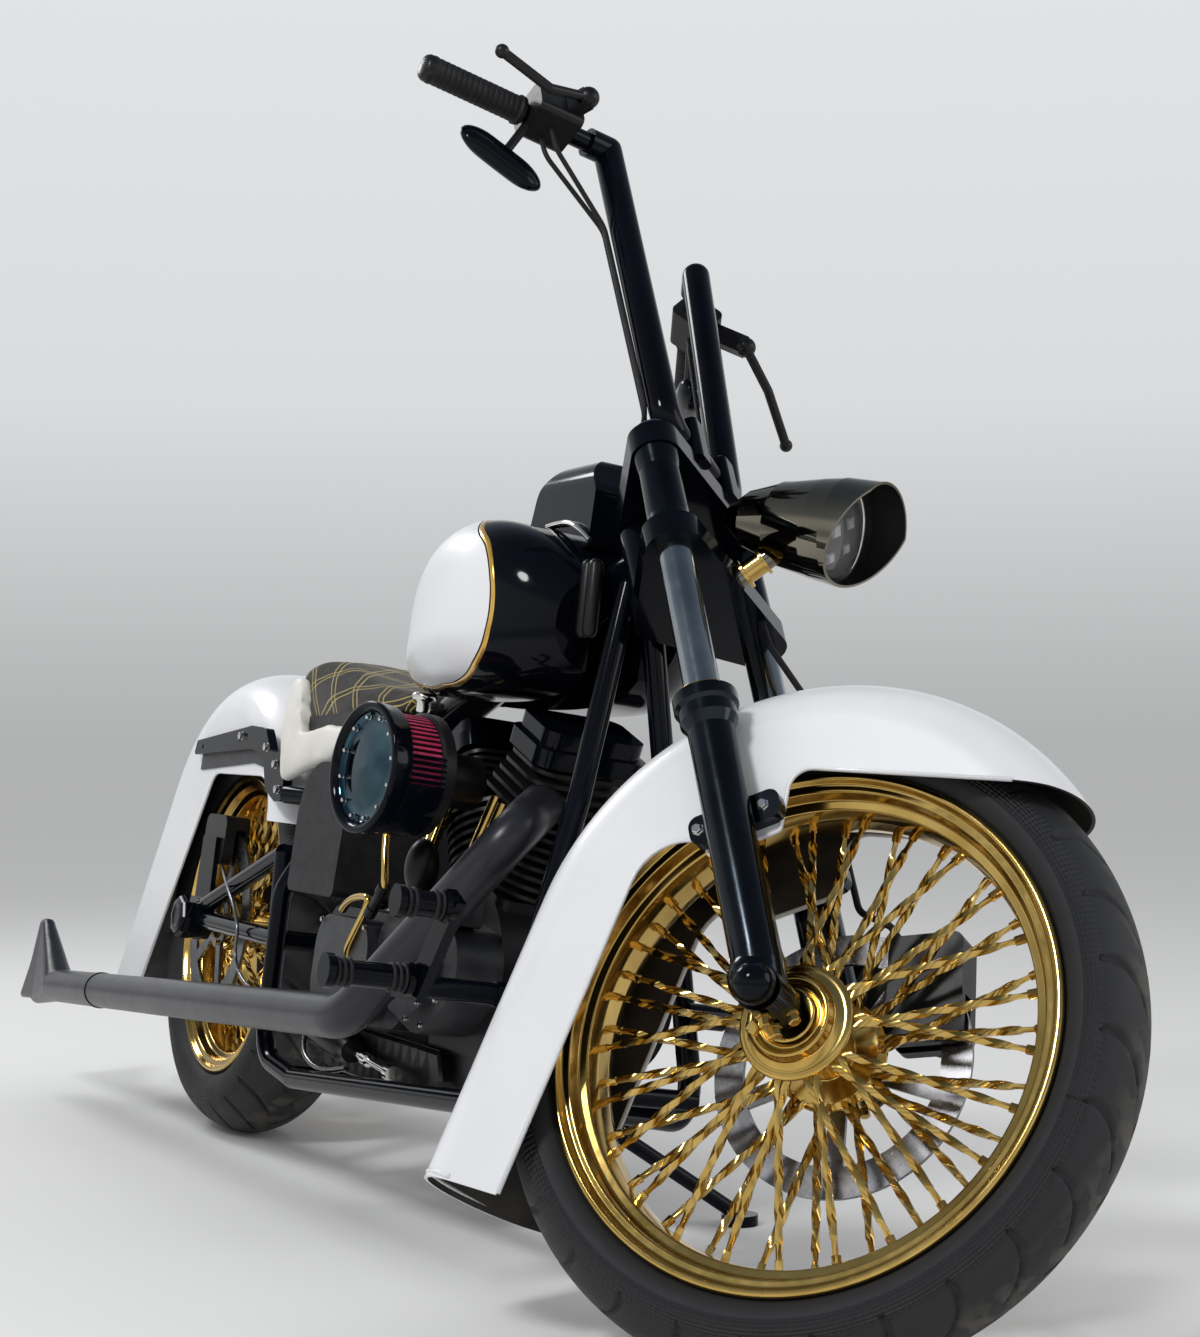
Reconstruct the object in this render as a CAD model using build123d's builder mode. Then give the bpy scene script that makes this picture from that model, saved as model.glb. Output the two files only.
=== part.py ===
# Long-tailed chopper motorcycle, parked on its side stand with the bars on the left stop.
# Upright bike frame, in millimetres: X forward, Y left, Z up, origin under the rear axle.
# Every piece is drawn upright and straight ahead, then turned, leaned and set on its tyres.
from build123d import *
import os
from math import cos, degrees, hypot, radians, sin, sqrt

# Driving dimensions of the whole machine
WHEELBASE = 1660
RAKE = 34
TRAIL = 138
LEAN = 8.5
STEER_STOP = 37
FRONT_TYRE_R = 350
REAR_TYRE_R = 332
FORK_SPREAD = 121
RUN_CLEARANCE = 0.05

# Where the whole bike stands: the middle of its box on the floor
CENTRE_X = 655
CENTRE_Y = 94

REAR_AXLE = Vector(0, 0, REAR_TYRE_R)
FRONT_AXLE = Vector(WHEELBASE, 0, FRONT_TYRE_R)
FORK_UP = Vector(-sin(radians(RAKE)), 0, cos(radians(RAKE)))
FORK_AHEAD = Vector(cos(radians(RAKE)), 0, sin(radians(RAKE)))
FORK = Plane(origin=FRONT_AXLE, x_dir=FORK_AHEAD, z_dir=FORK_UP)
FORK_OFFSET = FRONT_TYRE_R * sin(radians(RAKE)) - TRAIL * cos(radians(RAKE))
STEERING = Axis(FORK.from_local_coords((-FORK_OFFSET, 0, 0)), FORK_UP)

os.makedirs("parts", exist_ok=True)


def across(origin):
    """A section plane through a wheel: local x runs left, local y is the radius."""
    return Plane(origin=origin, x_dir=(0, 1, 0), z_dir=(1, 0, 0))


def side(y):
    """A plane seen from the right side: local x runs forward, local y up, at this y."""
    return Plane(origin=(0, y, 0), x_dir=(1, 0, 0), z_dir=(0, -1, 0))


def ring_axis(origin):
    return Axis(origin, (0, 1, 0))


def bar_plane(start, end):
    """A plane at start that looks at end."""
    return Plane(origin=start, z_dir=(Vector(end) - Vector(start)).normalized())


# Wheels: the rows give the two wheels in turn
# axle, tyre radius, tyre half width, flange radius, flange half width
FRONT_SIZE = dict(axle=FRONT_AXLE, tyre=FRONT_TYRE_R, half=60, flange=281.6, rim_half=53)
REAR_SIZE = dict(axle=REAR_AXLE, tyre=REAR_TYRE_R, half=78, flange=243.2, rim_half=66)
SPOKES_A_SIDE = 25
SPOKE_SIDE = 8.5
HUB_FLANGE_R = 62
SPOKE_HUB_R = 50
SPOKE_LEAD = 16


def rim_outline(size):
    """The rim's hoop: stepped polished lips outside, a dropped well in the middle."""
    lip, half = size["flange"], size["rim_half"]
    outer = [(half - 3, lip), (half - 7.5, lip - 1), (half - 8.5, lip - 13.1), (22, lip - 15)]
    outer += [(14, lip - 28)]
    inner = [(half, lip - 3), (half, lip - 8), (half - 8, lip - 12), (half - 8, lip - 20)]
    inner += [(half - 22, lip - 24), (half - 24, lip - 34), (12, lip - 38)]
    outline = outer + [(-a, r) for a, r in reversed(outer)]
    outline += [(-a, r) for a, r in inner] + list(reversed(inner))
    return outline


def spoke_ends(size, side_sign, turn, lead):
    """Hub end and rim end of one spoke."""
    hub, rim = radians(turn + lead), radians(turn)
    axle = size["axle"]
    a = axle + Vector(SPOKE_HUB_R * cos(hub), side_sign * 46, SPOKE_HUB_R * sin(hub))
    r = size["flange"] - 33
    b = axle + Vector(r * cos(rim), side_sign * 9, r * sin(rim))
    return a, b


def wheel_pieces(size, disc_side):
    """Tyre, spoked rim and brake disc of one wheel."""
    axle = size["axle"]
    bead, crown = size["flange"] - 13, size["tyre"]
    half, seat = size["half"], size["rim_half"] - 8.5
    mid = bead + 0.5 * (crown - bead)
    shoulder = crown - 0.34 * (crown - bead)
    with BuildPart() as tyre:
        with BuildSketch(across(axle)):
            with BuildLine():
                Line((-seat, bead), (seat, bead))
                Line((seat, bead), (seat, bead + 13))
                ThreePointArc((seat, bead + 13), (half, mid), (half - 6, shoulder))
                ThreePointArc((half - 6, shoulder), (0, crown), (6 - half, shoulder))
                ThreePointArc((6 - half, shoulder), (-half, mid), (-seat, bead + 13))
                Line((-seat, bead + 13), (-seat, bead))
            make_face()
        revolve(axis=ring_axis(axle))
    with BuildPart() as rim:
        with BuildSketch(across(axle)):
            Polygon(*rim_outline(size), align=None)
        revolve(axis=ring_axis(axle))
        with BuildSketch(across(axle)):
            hub = [(0, 30), (38, 30), (42, 56), (47, HUB_FLANGE_R), (51, HUB_FLANGE_R), (53, 57), (56, 50)]
            hub += [(63, 47), (65, 43), (68, 33), (73, 31), (73, AXLE_R + RUN_CLEARANCE)]
            hub_line = hub + [(-a, r) for a, r in reversed(hub[1:])]
            Polygon(*hub_line, align=None)
        revolve(axis=ring_axis(axle))
        for step in range(SPOKES_A_SIDE):
            for side_sign in (-1, 1):
                turn = step * 360 / SPOKES_A_SIDE + 3.6 * side_sign
                lead = SPOKE_LEAD if step % 2 else -SPOKE_LEAD
                a, b = spoke_ends(size, side_sign, turn, lead)
                with BuildSketch(bar_plane(a, b)):
                    Rectangle(SPOKE_SIDE, SPOKE_SIDE)
        extrude(amount=(b - a).length)
    with BuildPart() as disc:
        with BuildSketch(side(disc_side * 78)):
            with Locations((axle.X, axle.Z)):
                Circle(146)
                Circle(112, mode=Mode.SUBTRACT)
                for step in range(5):
                    with Locations(Location((0, 0), step * 72)):
                        with Locations((80, 0)):
                            Rectangle(76, 20)
                Circle(44)
                Circle(30, mode=Mode.SUBTRACT)
        extrude(amount=5)
    return tyre, rim, disc


# crown radius of each tyre, for where it meets the floor
FRONT_CROWN_R, REAR_CROWN_R = 66.5, 92.2


def stood(point, pitch):
    """Lean and pitch one point or direction of the upright bike."""
    return Vector(point).rotate(Axis.X, -LEAN).rotate(Axis.Y, pitch)


def tyre_low(axle, way, size, crown_r, pitch):
    """Height of a tyre's lowest point once leaned and pitched."""
    across_way = stood(way, pitch)
    reach = (size - crown_r) * sqrt(1 - across_way.Z**2)
    return stood(axle, pitch).Z - reach - crown_r


TURN = Axis((0, 0, 0), FORK_UP)
TURNED_AXLE = (FRONT_AXLE - STEERING.position).rotate(TURN, STEER_STOP) + STEERING.position
TURNED_WAY = Vector(0, 1, 0).rotate(TURN, STEER_STOP)
PITCH = 0
for step in range(6):
    rear_low = tyre_low(REAR_AXLE, (0, 1, 0), REAR_TYRE_R, REAR_CROWN_R, PITCH)
    front_low = tyre_low(TURNED_AXLE, TURNED_WAY, FRONT_TYRE_R, FRONT_CROWN_R, PITCH)
    PITCH += degrees((front_low - rear_low) / WHEELBASE)
LIFT = -rear_low
FLOOR_UP = Vector(0, 0, 1).rotate(Axis.Y, -PITCH).rotate(Axis.X, LEAN)


def floor_point(x, y):
    """The point of the floor under or over this x and y of the upright bike."""
    return Vector(x, y, (-LIFT - FLOOR_UP.X * x - FLOOR_UP.Y * y) / FLOOR_UP.Z)


def parked(shape, steered=False):
    """Turn with the bars, then lean, level the tyres on the floor and centre the box."""
    if steered:
        shape = shape.rotate(STEERING, STEER_STOP)
    shape = shape.rotate(Axis.X, -LEAN).rotate(Axis.Y, PITCH)
    return shape.translate(Vector(-CENTRE_X, -CENTRE_Y, LIFT))


AXLE_R = 12.5
front_tyre, front_rim, front_disc = wheel_pieces(FRONT_SIZE, 1)
rear_tyre, rear_rim, rear_disc = wheel_pieces(REAR_SIZE, -1)

with BuildPart() as rear_pulley:
    with BuildSketch(side(104)):
        with Locations((REAR_AXLE.X, REAR_AXLE.Z)):
            Circle(103)
            Circle(70, mode=Mode.SUBTRACT)
            for step in range(5):
                with Locations(Location((0, 0), step * 72)):
                    with Locations((55, 0)):
                        Rectangle(50, 18)
            Circle(42)
            Circle(30, mode=Mode.SUBTRACT)
    extrude(amount=20)


# Front fork: heights run up the legs from the axle, ahead is square to them
LOW_TREE, HIGH_TREE, TREE_THICK = 575, 715, 30
STEM_R = 13
LEG_PLANES = [FORK.from_local_coords((-4, y, 0)) for y in (-FORK_SPREAD, FORK_SPREAD)]
# height up the leg, radius
SLIDER_RINGS = [(0, 26), (34, 27), (322, 26), (334, 32), (348, 32)]
SLIDER_RINGS += [(352, 36), (366, 36), (368, 30), (370, 30)]
COVER_RINGS = [(607, 27), (620, 25), (690, 24), (714, 27)]
AXLE_BOSS_R = 24

with BuildPart() as fork_tubes:
    with BuildSketch(FORK.offset(340)):
        with Locations((-4, -FORK_SPREAD), (-4, FORK_SPREAD)):
            Circle(20.5)
    extrude(amount=415)

with BuildPart() as fork_sliders:
    for y in (-FORK_SPREAD, FORK_SPREAD):
        leg = Plane(origin=FORK.from_local_coords((-4, y, 0)), x_dir=FORK_AHEAD, z_dir=(0, -1, 0))
        with BuildSketch(leg):
            outline = [(0, h) for h in (SLIDER_RINGS[0][0], SLIDER_RINGS[-1][0])]
            Polygon(outline[0], *[(r, h) for h, r in SLIDER_RINGS], outline[1], align=None)
        revolve(axis=Axis(leg.origin, FORK_UP))
        ball = FORK.from_local_coords((-8, y, 24))
        with Locations(ball):
            Sphere(30)
        toward = 1 if y < 0 else -1
        with BuildSketch(Plane(origin=FRONT_AXLE + Vector(0, y - toward * 24, 0), z_dir=(0, toward, 0))):
            Circle(AXLE_BOSS_R)
        extrude(amount=50)
        inside = FRONT_AXLE + Vector(0, y + toward * 35, 0)
        with BuildSketch(Plane(origin=inside, x_dir=FORK_AHEAD, z_dir=(0, -toward, 0))):
            with Locations((-4, toward * 224)):
                RectangleRounded(106, 34, 12)
        extrude(amount=16)
    with BuildSketch(Plane(origin=FRONT_AXLE + Vector(0, 112, 0), x_dir=FORK_AHEAD, z_dir=(0, -1, 0))):
        Polygon((10, 34), (66, 12), (92, 96), (60, 104), (10, 84), align=None)
    extrude(amount=12)
    with BuildSketch(FORK.offset(340)):
        with Locations((-4, -FORK_SPREAD), (-4, FORK_SPREAD)):
            Circle(20.5)
    extrude(amount=60, mode=Mode.SUBTRACT)
    with BuildSketch(Plane(origin=FRONT_AXLE - Vector(0, 200, 0), z_dir=(0, 1, 0))):
        Circle(AXLE_R)
    extrude(amount=400, mode=Mode.SUBTRACT)

with BuildPart() as front_caliper:
    with BuildSketch(Plane(origin=FRONT_AXLE + Vector(0, 100, 0), x_dir=FORK_AHEAD, z_dir=(0, -1, 0))):
        with Locations(Location((112, 44), -15)):
            RectangleRounded(84, 122, 12)
    extrude(amount=42)
    with BuildSketch(Plane(origin=FRONT_AXLE + Vector(0, 112, 0), x_dir=FORK_AHEAD, z_dir=(0, -1, 0))):
        with Locations(Location((118, 44), -15)):
            RectangleRounded(50, 74, 10)
    extrude(amount=12)
    add(fork_sliders.part, mode=Mode.SUBTRACT)
    with BuildSketch(side(84)):
        with Locations((FRONT_AXLE.X, FRONT_AXLE.Z)):
            Circle(153)
    extrude(amount=17, mode=Mode.SUBTRACT)

with BuildPart() as front_axle:
    with BuildSketch(Plane(origin=FRONT_AXLE - Vector(0, 158, 0), z_dir=(0, 1, 0))):
        Circle(AXLE_R)
    extrude(amount=316)
    for y in (-156, 156):
        with Locations(FRONT_AXLE + Vector(0, y, 0)):
            Sphere(22)
    add(fork_sliders.part, mode=Mode.SUBTRACT)

with BuildPart() as fork_covers:
    for y in (-FORK_SPREAD, FORK_SPREAD):
        leg = Plane(origin=FORK.from_local_coords((-4, y, 0)), x_dir=FORK_AHEAD, z_dir=(0, -1, 0))
        with BuildSketch(leg):
            ends = [(20.5, COVER_RINGS[row][0]) for row in (0, -1)]
            Polygon(ends[0], *[(r, h) for h, r in COVER_RINGS], ends[1], align=None)
        revolve(axis=Axis(leg.origin, FORK_UP))

# Handlebar: tall uprights along the fork, mitred corners, grips pulled back
BAR_FOOT, BAR_CORNER, GRIP_END = (7, 90, 779), (17, 136, 1212), (-110, 372, 1222)
BAR_R, STUB_R, GRIP_R = 19, 12.7, 17
STUB_START = 0.12
GRIP_START = 0.5


def bar_point(local, y_sign):
    return FORK.from_local_coords((local[0], local[1] * y_sign, local[2]))


def along(start, end, share):
    return Vector(start) + (Vector(end) - Vector(start)) * share


with BuildPart() as handlebar:
    for y_sign in (-1, 1):
        middle = FORK.from_local_coords((7, 0, 779))
        foot = bar_point(BAR_FOOT, y_sign)
        corner = bar_point(BAR_CORNER, y_sign)
        grip_end = bar_point(GRIP_END, y_sign)
        neck_down = along(corner, grip_end, STUB_START)
        with BuildLine() as route:
            FilletPolyline(middle, foot, corner, radius=30)
        with BuildSketch(bar_plane(middle, foot)):
            Circle(BAR_R)
        sweep(path=route.line)
        with Locations(corner):
            Sphere(BAR_R)
        with BuildSketch(bar_plane(corner, neck_down)):
            Circle(BAR_R)
        extrude(amount=(neck_down - corner).length)
        with BuildSketch(bar_plane(neck_down, grip_end)):
            Circle(STUB_R)
        extrude(amount=(grip_end - neck_down).length)

with BuildPart() as triple_trees:
    for height, wide in ((LOW_TREE, 34), (HIGH_TREE, 30)):
        with BuildSketch(FORK.offset(height)):
            with Locations((-4, -FORK_SPREAD), (-4, FORK_SPREAD)):
                Circle(wide)
            with Locations((-FORK_OFFSET, 0)):
                Circle(30)
            make_hull()
        extrude(amount=TREE_THICK)
    with BuildSketch(FORK.offset(LOW_TREE)):
        with Locations((-FORK_OFFSET, 0)):
            Circle(STEM_R)
    extrude(amount=HIGH_TREE - LOW_TREE + TREE_THICK)
    with BuildSketch(FORK.offset(HIGH_TREE + TREE_THICK)):
        with Locations((7, -44), (7, 44)):
            RectangleRounded(52, 34, 8)
    extrude(amount=60)
    with BuildSketch(FORK.offset(LOW_TREE - 10)):
        with Locations((-4, -FORK_SPREAD), (-4, FORK_SPREAD)):
            Circle(20.5)
    extrude(amount=192, mode=Mode.SUBTRACT)
    add(handlebar.part, mode=Mode.SUBTRACT)

with BuildPart() as grips:
    for y_sign in (-1, 1):
        corner, grip_end = bar_point(BAR_CORNER, y_sign), bar_point(GRIP_END, y_sign)
        start = along(corner, grip_end, GRIP_START)
        with BuildSketch(bar_plane(start, grip_end)):
            Circle(GRIP_R)
            Circle(STUB_R, mode=Mode.SUBTRACT)
        extrude(amount=(grip_end - start).length)

# side, lever pivot, lever bend, lever ball: the left lever is turned well down on its bar
HAND_LEVERS = (
    (-1, (36, -226, 1216), (6, -276, 1204), (-24, -340, 1230)),
    (1, (38, 228, 1140), (44, 268, 1085), (31, 343, 1046)),
)
with BuildPart() as hand_controls:
    for y_sign, pivot_at, bend_at, ball_at in HAND_LEVERS:
        corner, grip_end = bar_point(BAR_CORNER, y_sign), bar_point(GRIP_END, y_sign)
        start, stop = along(corner, grip_end, 0.24), along(corner, grip_end, 0.48)
        middle = along(start, stop, 0.5)
        pivot, ball = FORK.from_local_coords(pivot_at), FORK.from_local_coords(ball_at)
        housing = Plane(origin=start, x_dir=(pivot - middle).normalized(), z_dir=(stop - start).normalized())
        with BuildSketch(housing):
            with Locations((8, 0)):
                RectangleRounded(62, 46, 10)
        extrude(amount=(stop - start).length)
        with BuildSketch(bar_plane(middle, pivot)):
            Rectangle(26, 18)
        extrude(amount=(pivot - middle).length)
        with Locations(pivot):
            Sphere(14)
        bend = FORK.from_local_coords(bend_at)
        for point, following in ((pivot, bend), (bend, ball)):
            with BuildSketch(bar_plane(point, following)):
                Circle(6.5)
            extrude(amount=(following - point).length)
        with Locations(bend):
            Sphere(6.5)
        with Locations(ball):
            Sphere(9)
        with BuildSketch(bar_plane(start, stop)):
            Circle(STUB_R)
        extrude(amount=(stop - start).length + 1, mode=Mode.SUBTRACT)

MIRROR_INNER, MIRROR_OUTER = (-57, 238, 1112), (-94, 308, 1150)
with BuildPart() as mirrors:
    for y_sign in (-1, 1):
        corner, grip_end = bar_point(BAR_CORNER, y_sign), bar_point(GRIP_END, y_sign)
        inner, outer = bar_point(MIRROR_INNER, y_sign), bar_point(MIRROR_OUTER, y_sign)
        pod = along(inner, outer, 0.5)
        stem_top = along(corner, grip_end, 0.43)
        long_way = (outer - inner).normalized()
        face = (FORK_AHEAD - long_way * FORK_AHEAD.dot(long_way)).normalized()
        with BuildSketch(bar_plane(pod, stem_top)):
            Circle(6)
        extrude(amount=(stem_top - pod).length)
        with BuildSketch(Plane(origin=pod - face * 11, x_dir=long_way, z_dir=face)):
            SlotOverall(122, 52)
        extrude(amount=22)
    add(hand_controls.part, mode=Mode.SUBTRACT)
    add(handlebar.part, mode=Mode.SUBTRACT)

# Headlamp: a long torpedo shell with a peaked rim
LAMP = FRONT_AXLE + Vector(-208, 0, 587)
LAMP_BACK, LAMP_FACE_R = -170, 62
# forward of the lens, radius
LAMP_RINGS = [(-150, 0), (-146, 16), (-118, 36), (-76, 50), (-20, 60), (10, 64)]

with BuildPart() as headlamp:
    with BuildSketch(Plane(origin=LAMP, x_dir=(1, 0, 0), z_dir=(0, -1, 0))):
        inner = [(10, 61), (0, 59), (-20, 56)]
        Polygon(*LAMP_RINGS, *inner, (-20, 0), align=None)
    revolve(axis=Axis(LAMP, (1, 0, 0)))
    with BuildSketch(Plane(origin=LAMP + Vector(9, 0, 0), z_dir=(1, 0, 0))):
        Circle(64)
        Circle(61, mode=Mode.SUBTRACT)
    extrude(amount=46)
    with BuildSketch(side(-80)):
        Polygon((LAMP.X + 9.5, LAMP.Z - 70), (LAMP.X + 80, LAMP.Z - 70), (LAMP.X + 80, LAMP.Z + 84), align=None)
    extrude(amount=-160, mode=Mode.SUBTRACT)
    mount_top = LAMP + Vector(-70, 0, -40)
    mount_foot = FORK.from_local_coords((10, 0, LOW_TREE + 15))
    with BuildSketch(bar_plane(mount_foot, mount_top)):
        Circle(13)
    extrude(amount=(mount_top - mount_foot).length)
    add(triple_trees.part, mode=Mode.SUBTRACT)

with BuildPart() as headlamp_lens:
    with BuildSketch(Plane(origin=LAMP, x_dir=(1, 0, 0), z_dir=(0, -1, 0))):
        Polygon((-20, 0), (-20, 55.5), (-4, 57.5), (4, 30), (6, 0), align=None)
    revolve(axis=Axis(LAMP, (1, 0, 0)))

# Cables and brake hose, clipped along the bars and the left leg
# radius, bend, left or right, then the run's points on the fork: ahead, out, up
THROTTLE = (-38, 222, 1204), (-38, 216, 1165), (-12, 128, 1090), (-17, 94, 800), (-45, 62, 775), (-45, 62, 742)
BRAKE = (-20, 230, 1204), (-20, 222, 1160), (-5, 142, 1080), (-10, 108, 800), (-38, 78, 775), (-38, 78, 742)
CALIPER_HOSE = (20, 70, 590), (24, 72, 540), (44, 118, 470), (44, 121, 190), (80, 104, 150), (100, 92, 90)
CABLE_RUNS = ((3.2, 30, -1, THROTTLE), (3.2, 30, -1, BRAKE), (3.2, 30, 1, THROTTLE), (4, 24, 1, CALIPER_HOSE))
with BuildPart() as cables:
    for radius, bend, y_sign, run in CABLE_RUNS:
        points = [bar_point(point, y_sign) for point in run]
        with BuildLine() as route:
            FilletPolyline(*points, radius=bend)
        with BuildSketch(bar_plane(points[0], points[1])):
            Circle(radius)
        sweep(path=route.line)
    for holder in (hand_controls, triple_trees, front_caliper):
        add(holder.part, mode=Mode.SUBTRACT)

# Front fender: a shell over the wheel with a long straight tail and scalloped skirts
FENDER_CENTRE = FRONT_AXLE + Vector(-22, 0, 56)
FENDER_R, FENDER_HALF, FENDER_WALL = 340, 86, 3
FENDER_TAIL = -272
# Its side outline, from the tail's foot round the scallop: x, height, corner radius
FENDER_EDGE = (
    (WHEELBASE - 420, 78, 1), (WHEELBASE - 231, 84, 4), (WHEELBASE - 229, 504, 62), (WHEELBASE - 158, 504, 5),
    (WHEELBASE - 150, 489, 6), (WHEELBASE - 80, 535, 8), (WHEELBASE - 96, 608, 24), (WHEELBASE + 150, 642, 200),
    (WHEELBASE + 300, 690, 1), (WHEELBASE + 300, 850, 1), (WHEELBASE - 420, 850, 1),
)

with BuildPart() as front_fender:
    for shell, mode in ((0, Mode.ADD), (FENDER_WALL, Mode.SUBTRACT)):
        half, reach = FENDER_HALF - shell, FENDER_R - shell
        crown = 66
        base = 40 if shell == 0 else 30
        with BuildSketch(across(FENDER_CENTRE)) as section:
            with BuildLine():
                Line((-half, base), (-half, reach - crown))
                EllipticalCenterArc((0, reach - crown), half, crown, arc_size=180)
                Line((half, reach - crown), (half, base))
                Line((half, base), (-half, base))
            make_face()
        revolve(axis=ring_axis(FENDER_CENTRE), mode=mode)
        with BuildSketch(Plane(origin=FENDER_CENTRE, x_dir=(0, -1, 0), z_dir=(0, 0, -1))):
            with BuildLine():
                Line((-half, base), (-half, reach - crown))
                EllipticalCenterArc((0, reach - crown), half, crown, arc_size=180)
                Line((half, reach - crown), (half, base))
                Line((half, base), (-half, base))
            make_face()
        extrude(amount=FENDER_CENTRE.Z - FRONT_AXLE.Z - FENDER_TAIL + shell, mode=mode)
    with BuildSketch(side(-200)):
        with BuildLine():
            corners = [(x, z) for x, z, radius in FENDER_EDGE]
            FilletPolyline(*corners, radius=[row[2] for row in FENDER_EDGE], close=True)
        make_face()
    extrude(amount=-400, mode=Mode.INTERSECT)


# Rear fender: same idea, wider, with a tail that flares back
REAR_FENDER_CENTRE = Vector(-20, 0, 385)
REAR_FENDER_R, REAR_FENDER_HALF = 362, 106
TAIL_LEAN = 31
REAR_TAIL = 430
# Its side outline: x, height, corner radius
REAR_FENDER_EDGE = (
    (-640, 175, 1), (-345, 175, 5), (-68, 571, 45), (240, 570, 66), (240, 500, 1), (330, 500, 1), (360, 560, 1),
    (300, 800, 1), (-640, 800, 1),
)

with BuildPart() as rear_fender:
    tail_dir = Vector(-sin(radians(TAIL_LEAN)), 0, -cos(radians(TAIL_LEAN)))
    tail_out = Vector(-cos(radians(TAIL_LEAN)), 0, sin(radians(TAIL_LEAN)))
    for shell, mode in ((0, Mode.ADD), (FENDER_WALL, Mode.SUBTRACT)):
        half, reach = REAR_FENDER_HALF - shell, REAR_FENDER_R - shell
        crown = 75
        base = 40 if shell == 0 else 30
        with BuildSketch(across(REAR_FENDER_CENTRE)):
            with BuildLine():
                Line((-half, base), (-half, reach - crown))
                EllipticalCenterArc((0, reach - crown), half, crown, arc_size=180)
                Line((half, reach - crown), (half, base))
                Line((half, base), (-half, base))
            make_face()
        revolve(axis=ring_axis(REAR_FENDER_CENTRE), mode=mode)
        with BuildSketch(Plane(origin=REAR_FENDER_CENTRE, x_dir=(0, 1, 0), z_dir=tail_dir)):
            with BuildLine():
                Line((-half, -base), (-half, crown - reach))
                EllipticalCenterArc((0, crown - reach), half, crown, start_angle=180, arc_size=180)
                Line((half, crown - reach), (half, -base))
                Line((half, -base), (-half, -base))
            make_face()
        extrude(amount=REAR_TAIL + 20 + shell, mode=mode)
    with BuildSketch(side(-200)):
        with BuildLine():
            corners = [(x, z) for x, z, radius in REAR_FENDER_EDGE]
            FilletPolyline(*corners, radius=[row[2] for row in REAR_FENDER_EDGE], close=True)
        make_face()
    extrude(amount=-400, mode=Mode.INTERSECT)

# Frame: one backbone, two side loops, neck, seat rails
NECK_LOW, NECK_HIGH = 609, 711
NECK_R = 29
HALF_FRAME = 134


def neck_point(height, ahead=0):
    return FORK.from_local_coords((ahead - FORK_OFFSET, 0, height))


# Side stand: its pivot, where its foot stands and how its leg lies when folded
STAND_PIVOT, STAND_FOOT = Vector(1000, 168, 158), floor_point(1040, 345)
STAND_OUT = (STAND_FOOT + FLOOR_UP * 12 - STAND_PIVOT).normalized()
STAND_BACK = Vector(-1, 0.2, 0.03).normalized()
STAND_AXIS = STAND_OUT.cross(STAND_BACK).normalized()
STAND_PIN_R = 6
# Where each side's foot controls hang from the downtube
CONTROL_X, CONTROL_Z = 1272, 331
FRAME_R = 14
with BuildPart() as frame:
    with BuildSketch(Plane(origin=neck_point(NECK_LOW), z_dir=FORK_UP)):
        Circle(NECK_R)
    extrude(amount=NECK_HIGH - NECK_LOW)
    backbone = [neck_point(668), (640, 0, 665), (500, 0, 600), (460, 0, 520)]
    with BuildLine() as route:
        FilletPolyline(*backbone, radius=60)
    with BuildSketch(bar_plane(backbone[0], backbone[1])):
        Circle(28)
    sweep(path=route.line)
    loop = [
        (1203, -14, 830), (1238, -60, 560), (1262, -HALF_FRAME, 205), (600, -HALF_FRAME, 150),
        (460, -HALF_FRAME, 165), (442, -HALF_FRAME, 400), (455, -70, 542), (340, -113, 542), (332, -113, 542),
    ]
    with BuildLine() as route:
        FilletPolyline(*loop[:-1], radius=[60, 60, 60, 60, 60, 30])
    with BuildSketch(bar_plane(loop[0], loop[1])):
        Circle(FRAME_R)
    sweep(path=route.line)
    mirror(about=Plane.XZ)
    with BuildSketch(Plane(origin=(455, -85, 542), z_dir=(0, 1, 0))):
        Circle(16)
    extrude(amount=170)
    for x, z in ((442, 330), (560, 152), (1259, 230)):
        with BuildSketch(Plane(origin=(x, -HALF_FRAME, z), z_dir=(0, 1, 0))):
            Circle(12)
        extrude(amount=2 * HALF_FRAME)
    for x, z in ((760, 705), (1050, 802)):
        with BuildSketch(Plane(origin=(x, -36, z), z_dir=(0, 1, 0))):
            Circle(12)
        extrude(amount=72)
    for y_sign in (-1, 1):
        with BuildSketch(Plane(origin=(CONTROL_X, y_sign * 100, CONTROL_Z), z_dir=(0, y_sign, 0))):
            Circle(15)
        extrude(amount=50)
    with BuildSketch(Plane(origin=STAND_PIVOT + STAND_AXIS * 11, x_dir=(1, 0, 0), z_dir=STAND_AXIS)):
        Circle(16)
        with Locations((0, -36)):
            Circle(12)
        make_hull()
    extrude(amount=8)
    with BuildSketch(Plane(origin=STAND_PIVOT - STAND_AXIS * 12, z_dir=STAND_AXIS)):
        Circle(STAND_PIN_R)
    extrude(amount=25)
    with BuildSketch(Plane(origin=STAND_PIVOT - STAND_AXIS * 17, z_dir=STAND_AXIS)):
        RegularPolygon(11, 6)
    extrude(amount=6)
    with BuildSketch(Plane(origin=neck_point(NECK_LOW - 10), z_dir=FORK_UP)):
        Circle(STEM_R + RUN_CLEARANCE)
    extrude(amount=NECK_HIGH - NECK_LOW + 20, mode=Mode.SUBTRACT)

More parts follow.
